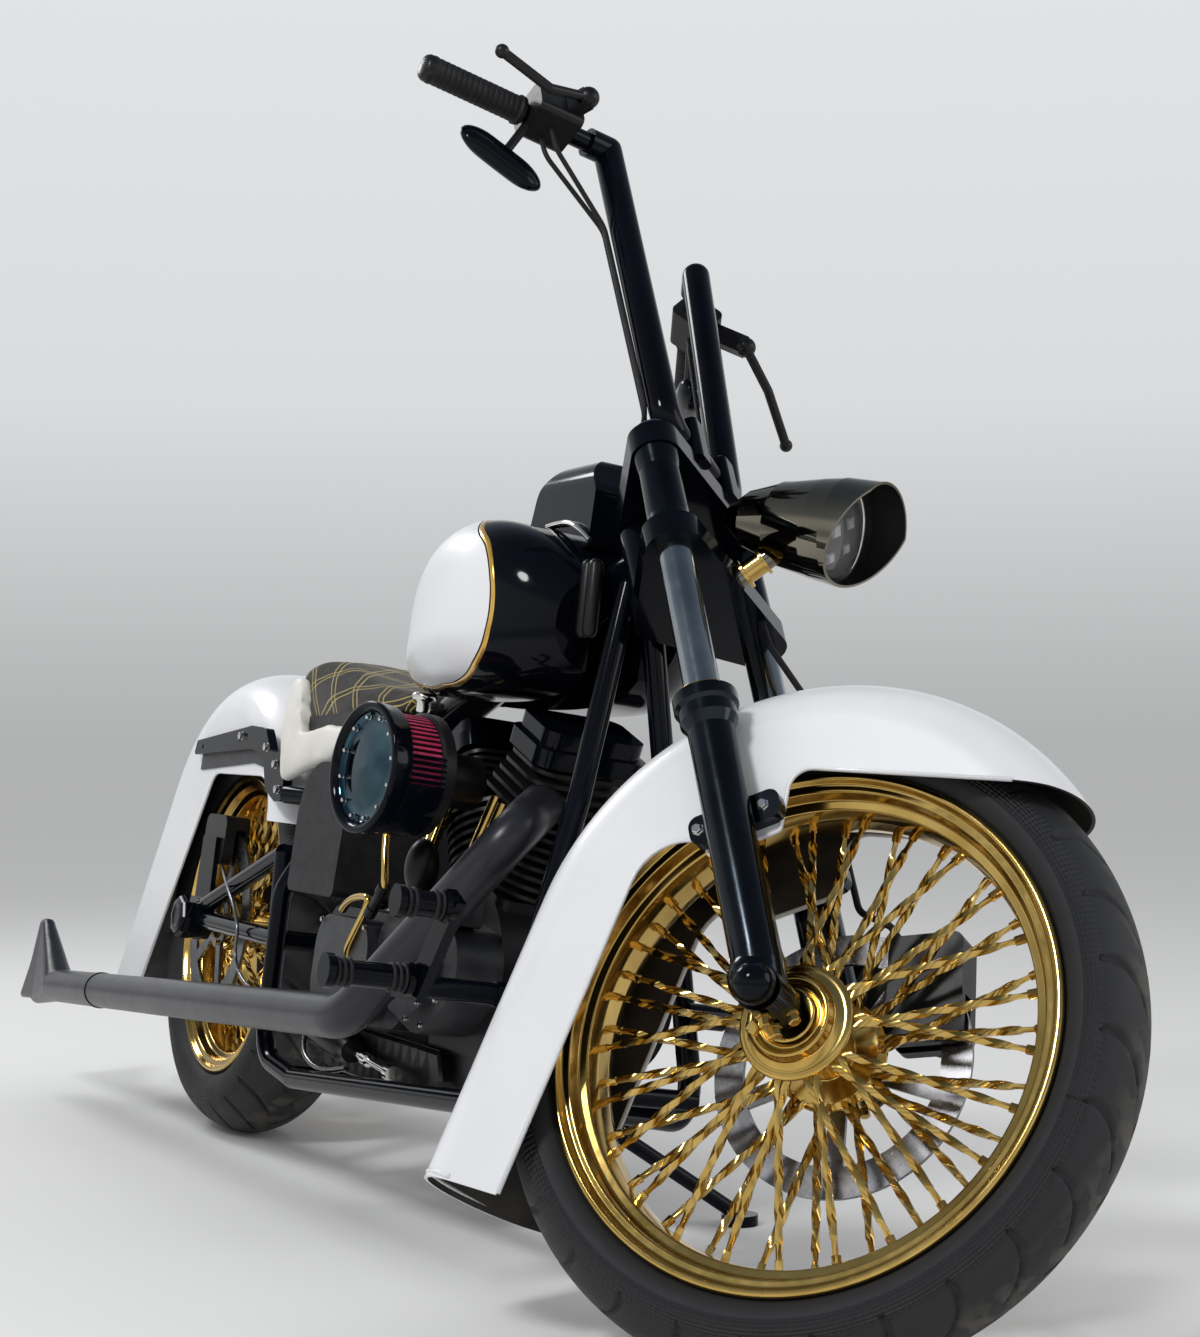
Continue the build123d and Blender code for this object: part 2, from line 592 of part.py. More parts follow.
# Swingarm: a triangle each side, joined by its pivot tube, with the axle plates
ARM_Y, ARM_R = 122, 14
PIVOT, ARM_TOP = (412, 330), (392, 455)
with BuildPart() as swingarm:
    for start, end in ((PIVOT, (20, 332)), (ARM_TOP, (30, 350)), (ARM_TOP, PIVOT)):
        with BuildSketch(bar_plane((start[0], -ARM_Y, start[1]), (end[0], -ARM_Y, end[1]))):
            Circle(ARM_R)
        extrude(amount=hypot(end[0] - start[0], end[1] - start[1]))
    with BuildSketch(side(-ARM_Y + 12)):
        with Locations((0, REAR_TYRE_R)):
            SlotOverall(120, 64)
    extrude(amount=24)
    mirror(about=Plane.XZ)
    with BuildSketch(side(-106)):
        Polygon((-50, 345), (30, 345), (20, 465), (-50, 465), align=None)
    extrude(amount=8)
    for x, z in (PIVOT, ARM_TOP):
        with BuildSketch(Plane(origin=(x, -ARM_Y, z), z_dir=(0, 1, 0))):
            Circle(ARM_R)
        extrude(amount=2 * ARM_Y)
    with BuildSketch(Plane(origin=REAR_AXLE - Vector(0, 200, 0), z_dir=(0, 1, 0))):
        Circle(AXLE_R)
    extrude(amount=400, mode=Mode.SUBTRACT)

with BuildPart() as rear_axle:
    with BuildSketch(Plane(origin=REAR_AXLE - Vector(0, 134, 0), z_dir=(0, 1, 0))):
        Circle(AXLE_R)
    extrude(amount=268)
    for y, amount in ((-134, -12), (134, 12)):
        with BuildSketch(Plane(origin=REAR_AXLE + Vector(0, y, 0), z_dir=(0, 1, 0))):
            RegularPolygon(19, 6)
        extrude(amount=amount)
    with BuildSketch(Plane(origin=REAR_AXLE - Vector(0, 200, 0), z_dir=(0, 1, 0))):
        Circle(8)
    extrude(amount=400, mode=Mode.SUBTRACT)

# Engine: an open 45 degree twin on one crankcase, pitched a little nose up
CRANK = Vector(990, 0, 335)
CYLINDER_LEANS = (-19, 26)
FIN_PITCH, FIN_THICK, BARREL_R, FIN_R = 13, 5, 52, 74


def cylinder_plane(lean):
    """Local z runs up the cylinder from the crank."""
    return Plane(origin=CRANK, x_dir=(0, 1, 0), z_dir=(-sin(radians(lean)), 0, cos(radians(lean))))


def middle_plane(lean):
    """The plane midway between the cylinders, looking at the one with this lean."""
    middle = radians(sum(CYLINDER_LEANS) / 2)
    ahead = Vector(cos(middle), 0, sin(middle))
    toward = ahead if lean < 0 else -ahead
    return Plane(origin=CRANK + toward * 1.5, z_dir=toward)


# Exhaust ports: where each pipe leaves its head, and the first bend
FRONT_PORT, FRONT_BEND = (1106, -42, 560), (1212, -122, 520)
REAR_PORT, REAR_BEND = (850, 42, 551), (740, 214, 520)
PIPE_R = 28


def finned_cylinder(lean, port, bend):
    up = cylinder_plane(lean)
    with BuildPart() as cylinder:
        with BuildSketch(up.offset(122)):
            Circle(BARREL_R)
        extrude(amount=178)
        for step in range(8):
            with BuildSketch(up.offset(130 + step * FIN_PITCH)):
                Circle(FIN_R)
            extrude(amount=FIN_THICK)
        for step in range(5):
            with BuildSketch(up.offset(238 + step * FIN_PITCH)):
                RectangleRounded(172 - 8 * step, 150 - 8 * step, 30)
            extrude(amount=FIN_THICK)
        split(bisect_by=middle_plane(lean), keep=Keep.TOP)
        with BuildSketch(bar_plane(port, bend)):
            Circle(PIPE_R + 0.5)
        extrude(amount=90, mode=Mode.SUBTRACT)
    return cylinder


front_cylinder = finned_cylinder(-19, FRONT_PORT, FRONT_BEND)
rear_cylinder = finned_cylinder(26, REAR_PORT, REAR_BEND)

with BuildPart() as rocker_boxes:
    for lean in CYLINDER_LEANS:
        up = cylinder_plane(lean)
        for height, long, wide, tall in ((300, 150, 118, 22), (322, 136, 104, 22)):
            with BuildSketch(up.offset(height)):
                RectangleRounded(long, wide, 22)
            extrude(amount=tall)

with BuildPart() as crankcase:
    with BuildSketch(side(-70)):
        with Locations((CRANK.X, CRANK.Z)):
            Circle(118)
        with Locations((CRANK.X + 15, CRANK.Z - 80)):
            RectangleRounded(190, 110, 20)
    extrude(amount=-163)
    with BuildSketch(side(110)):
        with Locations((CRANK.X, CRANK.Z)):
            Circle(70)
    extrude(amount=17)
    for lean in CYLINDER_LEANS:
        with BuildSketch(cylinder_plane(lean).offset(60)):
            RectangleRounded(140, 99, 20)
        extrude(amount=62)

with BuildPart() as cam_cover:
    with BuildSketch(side(-70)):
        # ahead of the crank, above it, radius
        for ahead, above, radius in ((-92, 8, 58), (15, -2, 74), (72, 10, 52)):
            with Locations((CRANK.X + ahead, CRANK.Z + above)):
                Circle(radius)
        make_hull()
    extrude(amount=62)
    with BuildSketch(side(-132)):
        with Locations((CRANK.X + 15, CRANK.Z + 4)):
            Circle(54)
    extrude(amount=8)
    with BuildSketch(side(-98)):
        with Locations((CRANK.X + 74, CRANK.Z + 82), (CRANK.X - 84, CRANK.Z + 82)):
            RectangleRounded(58, 40, 6)
    extrude(amount=36)

# Pushrod tubes: cylinder lean, foot's x, how far aft of the cylinder's middle the top is
PUSHRODS = ((-19, 1050, 12), (-19, 1076, -14), (26, 894, 12), (26, 920, -14))
with BuildPart() as pushrod_tubes:
    for lean, foot_x, aft in PUSHRODS:
        top = cylinder_plane(lean).from_local_coords((-84, aft, 233))
        foot = Vector(foot_x, -118, CRANK.Z + 105)
        with BuildSketch(bar_plane(foot, top)):
            Circle(8)
        extrude(amount=(top - foot).length)

with BuildPart() as transmission:
    with BuildSketch(side(-105)):
        with Locations((735, 322)):
            RectangleRounded(320, 146, 40)
    extrude(amount=-167)
    with BuildSketch(side(-105)):
        with Locations((750, 318)):
            RectangleRounded(200, 130, 45)
    extrude(amount=42)
    add(crankcase.part, mode=Mode.SUBTRACT)
    add(cam_cover.part, mode=Mode.SUBTRACT)

with BuildPart() as primary_cover:
    with BuildSketch(side(182)):
        with Locations((CRANK.X, CRANK.Z)):
            Circle(98)
        with Locations((710, 330)):
            Circle(112)
        make_hull()
    extrude(amount=72)
    for x, z, radius in ((710, 330, 62), (CRANK.X, CRANK.Z, 40)):
        with BuildSketch(side(190)):
            with Locations((x, z)):
                Circle(radius)
        extrude(amount=10)

with BuildPart() as oil_tank:
    with BuildSketch(side(148)):
        with BuildLine():
            FilletPolyline((500, 405), (690, 405), (700, 590), (503, 590), radius=[12, 12, 20, 85], close=True)
        make_face()
    extrude(amount=296)
    with BuildSketch(side(120)):
        Polygon((440, 380), (575, 380), (575, 620), (440, 620), align=None)
    extrude(amount=240, mode=Mode.SUBTRACT)
    with BuildSketch(side(160)):
        Polygon((480, 380), (720, 380), (720, 448), (480, 448), align=None)
    extrude(amount=75, mode=Mode.SUBTRACT)

# Air cleaner on the right of the twin, its face turned a little forward
AIR_PLANE = Plane(
    origin=(1045, -262, 573), x_dir=(cos(radians(8)), sin(radians(8)), 0), z_dir=(sin(radians(8)), -cos(radians(8)), 0)
)
with BuildPart() as air_cleaner:
    with BuildSketch(AIR_PLANE):
        Circle(79)
    extrude(amount=-24)
    with BuildSketch(AIR_PLANE.offset(-88)):
        Circle(74)
    extrude(amount=14)
    with BuildSketch(AIR_PLANE.offset(-88)):
        Circle(34)
    extrude(amount=-70)

with BuildPart() as air_filter:
    with BuildSketch(AIR_PLANE.offset(-74)):
        Circle(70)
    extrude(amount=50)

# Tank and console
TANK_ROWS = (
    (655, 66, 712, 784, 32), (760, 116, 694, 858, 56), (930, 160, 688, 912, 70),
    (1060, 158, 692, 900, 70), (1160, 84, 722, 838, 54),
)
with BuildPart() as fuel_tank:
    for x, half, low, top, corner in TANK_ROWS:
        with BuildSketch(Plane(origin=(x, 0, (low + top) / 2), x_dir=(0, 1, 0), z_dir=(1, 0, 0))):
            RectangleRounded(2 * half, top - low, corner)
    loft()
    with BuildSketch(side(36)):
        Polygon((640, 600), (640, 704), (1125, 862), (1125, 940), (1200, 940), (1200, 600), align=None)
    extrude(amount=72, mode=Mode.SUBTRACT)

with BuildPart() as tank_console:
    with BuildSketch(side(39)):
        with BuildLine():
            FilletPolyline(
                (930, 880), (952, 962), (992, 994), (1088, 998), (1126, 955), (1124, 880),
                radius=[1, 40, 34, 34, 24, 1], close=True,
            )
        make_face()
    extrude(amount=78)
    with BuildSketch(Plane(origin=(920, 0, 880), x_dir=(0, 1, 0), z_dir=(1, 0, 0))):
        RectangleRounded(78, 236, 36)
    extrude(amount=220, mode=Mode.INTERSECT)
    add(fuel_tank.part, mode=Mode.SUBTRACT)

# Seat: low pan, side skirts with two lobes. Outlines: x, height, corner radius
SKIRT_EDGE = (
    (256, 640, 20), (284, 716, 18), (332, 716, 16), (352, 636, 18), (470, 652, 40), (612, 646, 16), (664, 628, 4),
    (520, 592, 60), (400, 580, 60), (296, 560, 12),
)
PAD_EDGE = ((268, 640, 4), (274, 738, 40), (350, 756, 120), (560, 704, 120), (645, 702, 8), (650, 640, 4))
with BuildPart() as seat:
    for y, edge in ((135, SKIRT_EDGE), (110, PAD_EDGE)):
        with BuildSketch(side(y)):
            with BuildLine():
                FilletPolyline(*[(x, z) for x, z, radius in edge], radius=[row[2] for row in edge], close=True)
            make_face()
        extrude(amount=2 * y)
    with BuildSketch(side(107)):
        under = [(200, 500), (200, 620), (480, 640), (560, 662), (640, 695), (700, 714), (700, 500)]
        Polygon(*under, align=None)
    extrude(amount=214, mode=Mode.SUBTRACT)
    with BuildSketch(side(107)):
        with Locations((REAR_FENDER_CENTRE.X, REAR_FENDER_CENTRE.Z)):
            Circle(REAR_FENDER_R + 1)
    extrude(amount=214, mode=Mode.SUBTRACT)
    with BuildSketch(side(150)):
        Polygon((200, 500), (200, 612), (345, 612), (345, 500), align=None)
    extrude(amount=300, mode=Mode.SUBTRACT)

# Fender struts: x, height, corner radius
STRUT_EDGE = (
    (-146, 621, 6), (142, 646, 60), (212, 642, 22), (250, 606, 20), (297, 604, 14), (332, 590, 12), (332, 530, 6),
    (300, 530, 6), (250, 547, 16), (216, 602, 24), (150, 609, 30), (-154, 597, 6),
)
DOCKING_HOLES, DOCKING_R = ((-110, 611), (90, 624)), 4
with BuildPart() as fender_struts:
    with BuildSketch(side(-106)):
        with BuildLine():
            corners = [(x, z) for x, z, radius in STRUT_EDGE]
            FilletPolyline(*corners, radius=[row[2] for row in STRUT_EDGE], close=True)
        make_face()
    extrude(amount=14)
    mirror(about=Plane.XZ)
    with BuildSketch(side(-90)):
        with Locations(*DOCKING_HOLES):
            Circle(DOCKING_R)
    extrude(amount=60, mode=Mode.SUBTRACT)
    with BuildSketch(side(150)):
        with Locations(*DOCKING_HOLES):
            Circle(DOCKING_R)
    extrude(amount=60, mode=Mode.SUBTRACT)

# Exhausts: one long fishtail pipe each side. Tail sections: x, width, height, middle's height
TAIL_ROWS = ((-419, 55, 55.2, 172), (-556, 24, 152, 203), (-665, 18, 152, 203))
PIPE_RUNS = (
    (FRONT_PORT, FRONT_BEND, (985, -214, 268), (-420, -222, 172)),
    (REAR_PORT, REAR_BEND, (700, 224, 250), (-420, 222, 172)),
)
with BuildPart() as fishtails:
    for y in (-222, 222):
        for x, wide, tall, middle in TAIL_ROWS:
            with BuildSketch(Plane(origin=(x, y, middle), x_dir=(0, -1, 0), z_dir=(-1, 0, 0))):
                RectangleRounded(wide, tall, wide * 0.49)
        loft(ruled=True)
    with BuildSketch(side(-260)):
        with BuildLine():
            FilletPolyline(
                (-400, 100), (-400, 320), (-564, 300), (-604, 198), (-658, 128), (-560, 136), (-500, 100),
                radius=[1, 1, 5, 60, 5, 30, 1], close=True,
            )
        make_face()
    extrude(amount=-520, mode=Mode.INTERSECT)

with BuildPart() as exhausts:
    for run in PIPE_RUNS:
        with BuildLine() as route:
            FilletPolyline(*run, radius=[45, 90])
        with BuildSketch(bar_plane(run[0], run[1])):
            Circle(PIPE_R)
        sweep(path=route.line)
        seam = along(run[2], run[3], 0.8)
        with BuildSketch(bar_plane(seam, run[3])):
            Circle(PIPE_R + 1.5)
        extrude(amount=12)
    add(fishtails.part)

# Foot pegs and pedal pads: x, height, start outward, radius, length
PEG_STEPS = (
    (1318, 340, 262, 14, 112), (1318, 340, 272, 19, 7), (1318, 340, 365, 19, 9), (1392, 425, 262, 14, 70),
    (1392, 425, 272, 18, 6), (1392, 425, 324, 18, 8),
)
with BuildPart() as foot_controls:
    for y in (-1, 1):
        for x, z, out, radius, amount in PEG_STEPS:
            with BuildSketch(Plane(origin=(x, y * out, z), z_dir=(0, y, 0))):
                Circle(radius)
            extrude(amount=amount)
        with BuildSketch(side(-256) if y < 0 else side(268)):
            Polygon(
                (1256, 316), (1330, 316), (1340, 330), (1410, 430), (1376, 444), (1318, 360), (1262, 348),
                align=None,
            )
        extrude(amount=12)
        with BuildSketch(Plane(origin=(CONTROL_X, y * 150, CONTROL_Z), z_dir=(0, y, 0))):
            Circle(13)
        extrude(amount=106)

with BuildPart() as rear_caliper:
    with BuildSketch(side(-66)):
        with Locations((-15, 462)):
            RectangleRounded(110, 80, 18)
    extrude(amount=40)
    with BuildSketch(side(-72)):
        with Locations((REAR_AXLE.X, REAR_AXLE.Z)):
            Circle(153)
    extrude(amount=17, mode=Mode.SUBTRACT)

with BuildPart() as drive_belt:
    with BuildSketch(side(105)):
        for grow, mode in ((15, Mode.ADD), (10, Mode.SUBTRACT)):
            with BuildSketch(Plane.XY, mode=Mode.PRIVATE) as loop_face:
                with Locations((0, REAR_TYRE_R)):
                    Circle(100 + grow)
                with Locations((640, 330)):
                    Circle(40 + grow)
                make_hull()
            add(loop_face.sketch, mode=mode)
    extrude(amount=22)

with BuildPart() as horn:
    with BuildSketch(side(150)):
        with Locations((965, 590)):
            Circle(48)
    extrude(amount=45)

with BuildPart() as regulator:
    with BuildSketch(side(55)):
        Polygon((1272, 300), (1296, 300), (1284, 440), (1262, 440), align=None)
    extrude(amount=110)

with BuildPart() as tail_lamp:
    foot = REAR_FENDER_CENTRE + tail_dir * 45 + tail_out * (REAR_FENDER_R - 2.8)
    for radius, tall in ((27, 15), (22, 27)):
        with BuildSketch(Plane(origin=foot, z_dir=tail_out)):
            Circle(radius)
        extrude(amount=tall)
    add(rear_fender.part, mode=Mode.SUBTRACT)

with BuildPart() as side_stand:
    with BuildSketch(Plane(origin=STAND_PIVOT - STAND_AXIS * 10.4, z_dir=STAND_AXIS)):
        Circle(16)
    extrude(amount=20.8)
    with BuildSketch(bar_plane(STAND_PIVOT, STAND_FOOT + FLOOR_UP * 12)):
        Circle(10)
    extrude(amount=(STAND_FOOT + FLOOR_UP * 12 - STAND_PIVOT).length)
    with BuildSketch(Plane(origin=STAND_FOOT, z_dir=FLOOR_UP)):
        Circle(24)
    extrude(amount=14)
    with BuildSketch(Plane(origin=STAND_PIVOT - STAND_AXIS * 12.5, z_dir=STAND_AXIS)):
        Circle(STAND_PIN_R + RUN_CLEARANCE)
    extrude(amount=24, mode=Mode.SUBTRACT)

# Every piece by its node name: those that steer with the bars, and the rest
STEERED = dict(
    front_tyre=front_tyre, front_rim=front_rim, front_disc=front_disc, fork_tubes=fork_tubes, cables=cables,
    fork_sliders=fork_sliders, front_caliper=front_caliper, front_axle=front_axle,
    triple_trees=triple_trees, fork_covers=fork_covers, handlebar=handlebar, grips=grips,
    hand_controls=hand_controls, mirrors=mirrors, headlamp=headlamp, headlamp_lens=headlamp_lens,
    front_fender=front_fender,
)
MACHINE = dict(
    frame=frame, swingarm=swingarm, rear_axle=rear_axle, front_cylinder=front_cylinder,
    rear_cylinder=rear_cylinder, rocker_boxes=rocker_boxes, crankcase=crankcase, cam_cover=cam_cover,
    pushrod_tubes=pushrod_tubes, transmission=transmission, primary_cover=primary_cover,
    oil_tank=oil_tank, air_cleaner=air_cleaner, air_filter=air_filter, fuel_tank=fuel_tank,
    tank_console=tank_console, seat=seat, fender_struts=fender_struts, exhausts=exhausts,
    foot_controls=foot_controls, rear_caliper=rear_caliper, drive_belt=drive_belt, horn=horn,
    regulator=regulator, tail_lamp=tail_lamp, side_stand=side_stand, rear_fender=rear_fender,
    rear_tyre=rear_tyre, rear_rim=rear_rim, rear_disc=rear_disc, rear_pulley=rear_pulley,
)
for pieces, steered in ((STEERED, True), (MACHINE, False)):
    for name, piece in pieces.items():
        shape = parked(piece.part, steered)
        shape.label = name
        export_step(shape, f"parts/{name}.step")
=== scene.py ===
# Looks for a long-tailed chopper motorcycle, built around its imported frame. Metres throughout.
# New pieces are drawn on the upright bike (X forward, Y left, Z up, origin under the rear axle)
# and then placed as the CAD places its solids: turned with the bars, leaned, set on the floor.
import math

import bmesh
import bpy
from mathutils import Matrix, Vector
from mathutils.bvhtree import BVHTree


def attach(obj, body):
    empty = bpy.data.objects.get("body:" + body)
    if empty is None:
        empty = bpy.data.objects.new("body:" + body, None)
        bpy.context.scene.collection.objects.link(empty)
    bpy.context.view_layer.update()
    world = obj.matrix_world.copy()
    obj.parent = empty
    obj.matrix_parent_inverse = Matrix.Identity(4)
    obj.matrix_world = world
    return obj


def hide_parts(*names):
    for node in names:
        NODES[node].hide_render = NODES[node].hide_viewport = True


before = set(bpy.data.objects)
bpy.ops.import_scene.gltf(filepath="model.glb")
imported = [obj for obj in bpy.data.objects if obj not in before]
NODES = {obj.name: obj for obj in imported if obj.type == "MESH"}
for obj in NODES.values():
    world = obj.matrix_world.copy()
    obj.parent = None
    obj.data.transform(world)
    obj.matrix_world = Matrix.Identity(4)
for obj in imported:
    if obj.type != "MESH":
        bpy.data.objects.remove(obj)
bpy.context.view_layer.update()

# The bike's layout, as in part.py
WHEELBASE, FRONT_TYRE_R, REAR_TYRE_R, TRAIL = 1.660, 0.350, 0.332, 0.138
RAKE, LEAN, PITCH, STEER = (math.radians(a) for a in (34, 8.5, 0.37800319, 37))
CENTRE = Vector((0.655, 0.094, -0.00102))
FRONT_AXLE, REAR_AXLE = Vector((WHEELBASE, 0, FRONT_TYRE_R)), Vector((0, 0, REAR_TYRE_R))
FORK_UP = Vector((-math.sin(RAKE), 0, math.cos(RAKE)))
FORK_AHEAD = Vector((math.cos(RAKE), 0, math.sin(RAKE)))
FORK_OFFSET = FRONT_TYRE_R * math.sin(RAKE) - TRAIL * math.cos(RAKE)
LEG_OUT = 0.121
AHEAD, LEFT, UP = Vector((1, 0, 0)), Vector((0, 1, 0)), Vector((0, 0, 1))
RIGHT = -LEFT
SIDES = ((-1, "right"), (1, "left"))

PLACED = Matrix.Translation(-CENTRE) @ Matrix.Rotation(PITCH, 4, "Y") @ Matrix.Rotation(-LEAN, 4, "X")
STEER_POINT = FRONT_AXLE - FORK_AHEAD * FORK_OFFSET
STEERED = (
    PLACED
    @ Matrix.Translation(STEER_POINT)
    @ Matrix.Rotation(STEER, 4, FORK_UP)
    @ Matrix.Translation(-STEER_POINT)
)


def at(x, y, z):
    """A point of the upright bike."""
    return Vector((x, y, z))


def fork(ahead, left, up):
    """A point of the fork before it is turned: ahead of the legs, left of the middle, up the leg."""
    return FRONT_AXLE + FORK_AHEAD * ahead + LEFT * left + FORK_UP * up


# Materials


def blank(name):
    """A new material: itself, its nodes, its links and its shader."""
    mat = bpy.data.materials.new(name)
    mat.use_nodes = True
    nodes, links = mat.node_tree.nodes, mat.node_tree.links
    return mat, nodes, links, nodes["Principled BSDF"]


def put(shader, **values):
    """Set sockets by name, with spaces written as underscores."""
    for key, value in values.items():
        shader.inputs[key.replace("_", " ")].default_value = value


def node(nodes, kind, **values):
    """A new node whose properties and sockets are set by name."""
    made = nodes.new(kind)
    for key, value in values.items():
        if hasattr(made, key):
            setattr(made, key, value)
        else:
            put(made, **{key: value})
    return made


def ramp(nodes, links, source, stops):
    """Colours that follow a number; a stop is its place and its colour."""
    made = nodes.new("ShaderNodeValToRGB")
    band = made.color_ramp
    while len(band.elements) < len(stops):
        band.elements.new(0.5)
    for element, (place, colour) in zip(band.elements, stops):
        element.position = place
        element.color = (*colour, 1)
    links.new(source, made.inputs["Fac"])
    return made.outputs["Color"]


def noise(nodes, links, scale, detail=4):
    """Noise fixed to the object, as an output."""
    coordinates = nodes.new("ShaderNodeTexCoord")
    made = node(nodes, "ShaderNodeTexNoise", Scale=scale, Detail=detail)
    links.new(coordinates.outputs["Object"], made.inputs["Vector"])
    return made.outputs["Fac"]


def bump(nodes, links, shader, height, strength, distance):
    made = node(nodes, "ShaderNodeBump", Strength=strength, Distance=distance)
    links.new(height, made.inputs["Height"])
    links.new(made.outputs["Normal"], shader.inputs["Normal"])


def roughness(nodes, links, shader, source, low, high):
    """Roughness that follows a noise from low to high."""
    spread = node(nodes, "ShaderNodeMapRange", To_Min=low, To_Max=high)
    links.new(source, spread.inputs["Value"])
    links.new(spread.outputs["Result"], shader.inputs["Roughness"])


def mixed(nodes, links, amount, first, second):
    """A colour from first to second, each a colour or an output."""
    mix = nodes.new("ShaderNodeMix")
    mix.data_type = "RGBA"
    links.new(amount, mix.inputs["Factor"])
    for socket, colour in (("A", first), ("B", second)):
        if isinstance(colour, tuple):
            mix.inputs[socket].default_value = (*colour, 1)
        else:
            links.new(colour, mix.inputs[socket])
    return mix.outputs["Result"]


def calculator(nodes, links):
    """A function that adds a Math node for numbers or outputs, and returns its output."""

    def maths(kind, *values):
        made = node(nodes, "ShaderNodeMath", operation=kind)
        for socket, value in zip(made.inputs, values):
            if isinstance(value, (int, float)):
                socket.default_value = value
            else:
                links.new(value, socket)
        return made.outputs[0]

    return maths


def surface_map(nodes, links):
    """The two coordinates of the mesh's own UV map."""
    split = nodes.new("ShaderNodeSeparateXYZ")
    links.new(nodes.new("ShaderNodeUVMap").outputs["UV"], split.inputs["Vector"])
    return split.outputs["X"], split.outputs["Y"]


def finish(
    name, dark, light, rough, metal=0.0, coat=0.0, scale=9.0, grain=900.0, relief=0.0, distance=0.0002,
    specular=0.5,
):
    """A surface whose colour drifts between two tones, with its own roughness range and fine relief.
    rough is a pair: lowest and highest roughness."""
    mat, nodes, links, shader = blank(name)
    put(shader, Metallic=metal, Coat_Weight=coat, Coat_Roughness=0.04, Specular_IOR_Level=specular)
    tones = ramp(nodes, links, noise(nodes, links, scale), [(0.35, dark), (0.65, light)])
    links.new(tones, shader.inputs["Base Color"])
    roughness(nodes, links, shader, noise(nodes, links, scale * 5), *rough)
    if relief:
        bump(nodes, links, shader, noise(nodes, links, grain, 3), relief, distance)
    return mat


WHITE = finish(
    "white_paint", (0.74, 0.75, 0.775), (0.79, 0.80, 0.82), (0.30, 0.42),
    coat=0.35, scale=5, grain=260, relief=0.03,
)
GLOSS_BLACK = finish(
    "gloss_black_paint", (0.0012, 0.0016, 0.003), (0.0025, 0.0035, 0.007), (0.06, 0.13),
    coat=0.08, scale=6, grain=240, relief=0.03, specular=0.10,
)
SATIN_BLACK = finish(
    "satin_black", (0.004, 0.004, 0.0045), (0.009, 0.009, 0.010), (0.28, 0.44),
    scale=14, grain=700, relief=0.12, specular=0.28,
)
BLACK_CHROME = finish(
    "black_chrome", (0.018, 0.022, 0.027), (0.032, 0.038, 0.045), (0.10, 0.20),
    metal=1.0, scale=10, grain=500, relief=0.01,
)
SMOKED_CHROME = finish(
    "smoked_chrome", (0.17, 0.155, 0.12), (0.23, 0.21, 0.165), (0.03, 0.09),
    metal=1.0, scale=12, grain=500, relief=0.01,
)
CHROME = finish(
    "fork_chrome", (0.24, 0.27, 0.29), (0.34, 0.37, 0.39), (0.08, 0.18),
    metal=1.0, scale=16, grain=600, relief=0.01,
)
STEEL = finish(
    "brushed_steel", (0.16, 0.16, 0.17), (0.25, 0.25, 0.26), (0.2, 0.36),
    metal=1.0, scale=30, relief=0.06,
)
GOLD = finish(
    "polished_gold", (0.50, 0.325, 0.085), (0.66, 0.45, 0.14), (0.09, 0.20),
    metal=1.0, scale=18, grain=500, relief=0.015,
)
EXHAUST = finish(
    "satin_exhaust", (0.011, 0.0115, 0.015), (0.020, 0.020, 0.025), (0.26, 0.38),
    metal=0.05, scale=7, grain=1100, relief=0.08, specular=0.38,
)
CAST_GREY = finish(
    "cast_grey", (0.018, 0.019, 0.022), (0.036, 0.037, 0.042), (0.32, 0.48),
    metal=0.3, scale=26, grain=1500, relief=0.25,
)
WRINKLE = finish(
    "wrinkle_black", (0.009, 0.009, 0.010), (0.019, 0.019, 0.021), (0.42, 0.60),
    scale=40, grain=1000, relief=0.9, distance=0.0006, specular=0.22,
)
RUBBER = finish(
    "black_rubber", (0.005, 0.005, 0.0055), (0.011, 0.011, 0.012), (0.5, 0.7),
    scale=20, relief=0.3, specular=0.3,
)
LEATHER = finish(
    "white_leather", (0.66, 0.645, 0.59), (0.76, 0.75, 0.70), (0.38, 0.52),
    scale=12, grain=1300, relief=0.5, distance=0.0005,
)
# Painted shade: a dark brown for the fender faces that look at the wheel, where shade falls.
UNDERSIDE_SHADE = finish(
    "fender_underside_painted_shade", (0.012, 0.011, 0.010), (0.05, 0.044, 0.036), (0.5, 0.8),
    scale=14, grain=500, relief=0.5, distance=0.0006,
)
PLEATS = finish(
    "red_filter_pleats", (0.34, 0.008, 0.06), (0.50, 0.02, 0.11), (0.5, 0.7),
    scale=60, grain=2200, relief=0.5,
)
# Painted shade: a darker red for every face of a pleat but its outer top, so the folds read as shaded.
PLEAT_PAINTED_SHADE = finish(
    "red_filter_painted_shade", (0.05, 0.002, 0.012), (0.09, 0.004, 0.022), (0.6, 0.8),
    scale=60, grain=2200, relief=0.5,
)
RED_LENS = finish(
    "red_lens", (0.30, 0.004, 0.004), (0.42, 0.01, 0.008), (0.08, 0.16),
    coat=1.0, scale=30, grain=500, relief=0.02,
)
# Dark chrome with a blue tint that is a painted reflection of the sky.
CHROME_PAINTED_SKY_BLUE = finish(
    "dark_chrome_painted_sky_blue", (0.012, 0.035, 0.055), (0.06, 0.12, 0.15), (0.03, 0.08),
    metal=1.0, scale=14, grain=500, relief=0.01,
)
PLATED = finish(
    "bright_plate", (0.62, 0.61, 0.59), (0.74, 0.73, 0.71), (0.05, 0.12),
    metal=1.0, scale=30, grain=600, relief=0.01,
)
PINSTRIPE = finish(
    "gold_pinstripe", (0.62, 0.36, 0.05), (0.74, 0.45, 0.09), (0.16, 0.26),
    metal=0.6, coat=0.5, scale=40, grain=500, relief=0.02,
)
LED = finish("lamp_led", (0.75, 0.76, 0.78), (0.86, 0.87, 0.88), (0.1, 0.2), scale=40, grain=500, relief=0.02)

LENS_GLASS, _, _, lens_shader = blank("lens_glass")
put(lens_shader, Base_Color=(0.94, 0.95, 0.96, 1), Roughness=0.02, Transmission_Weight=0.9, IOR=1.45)

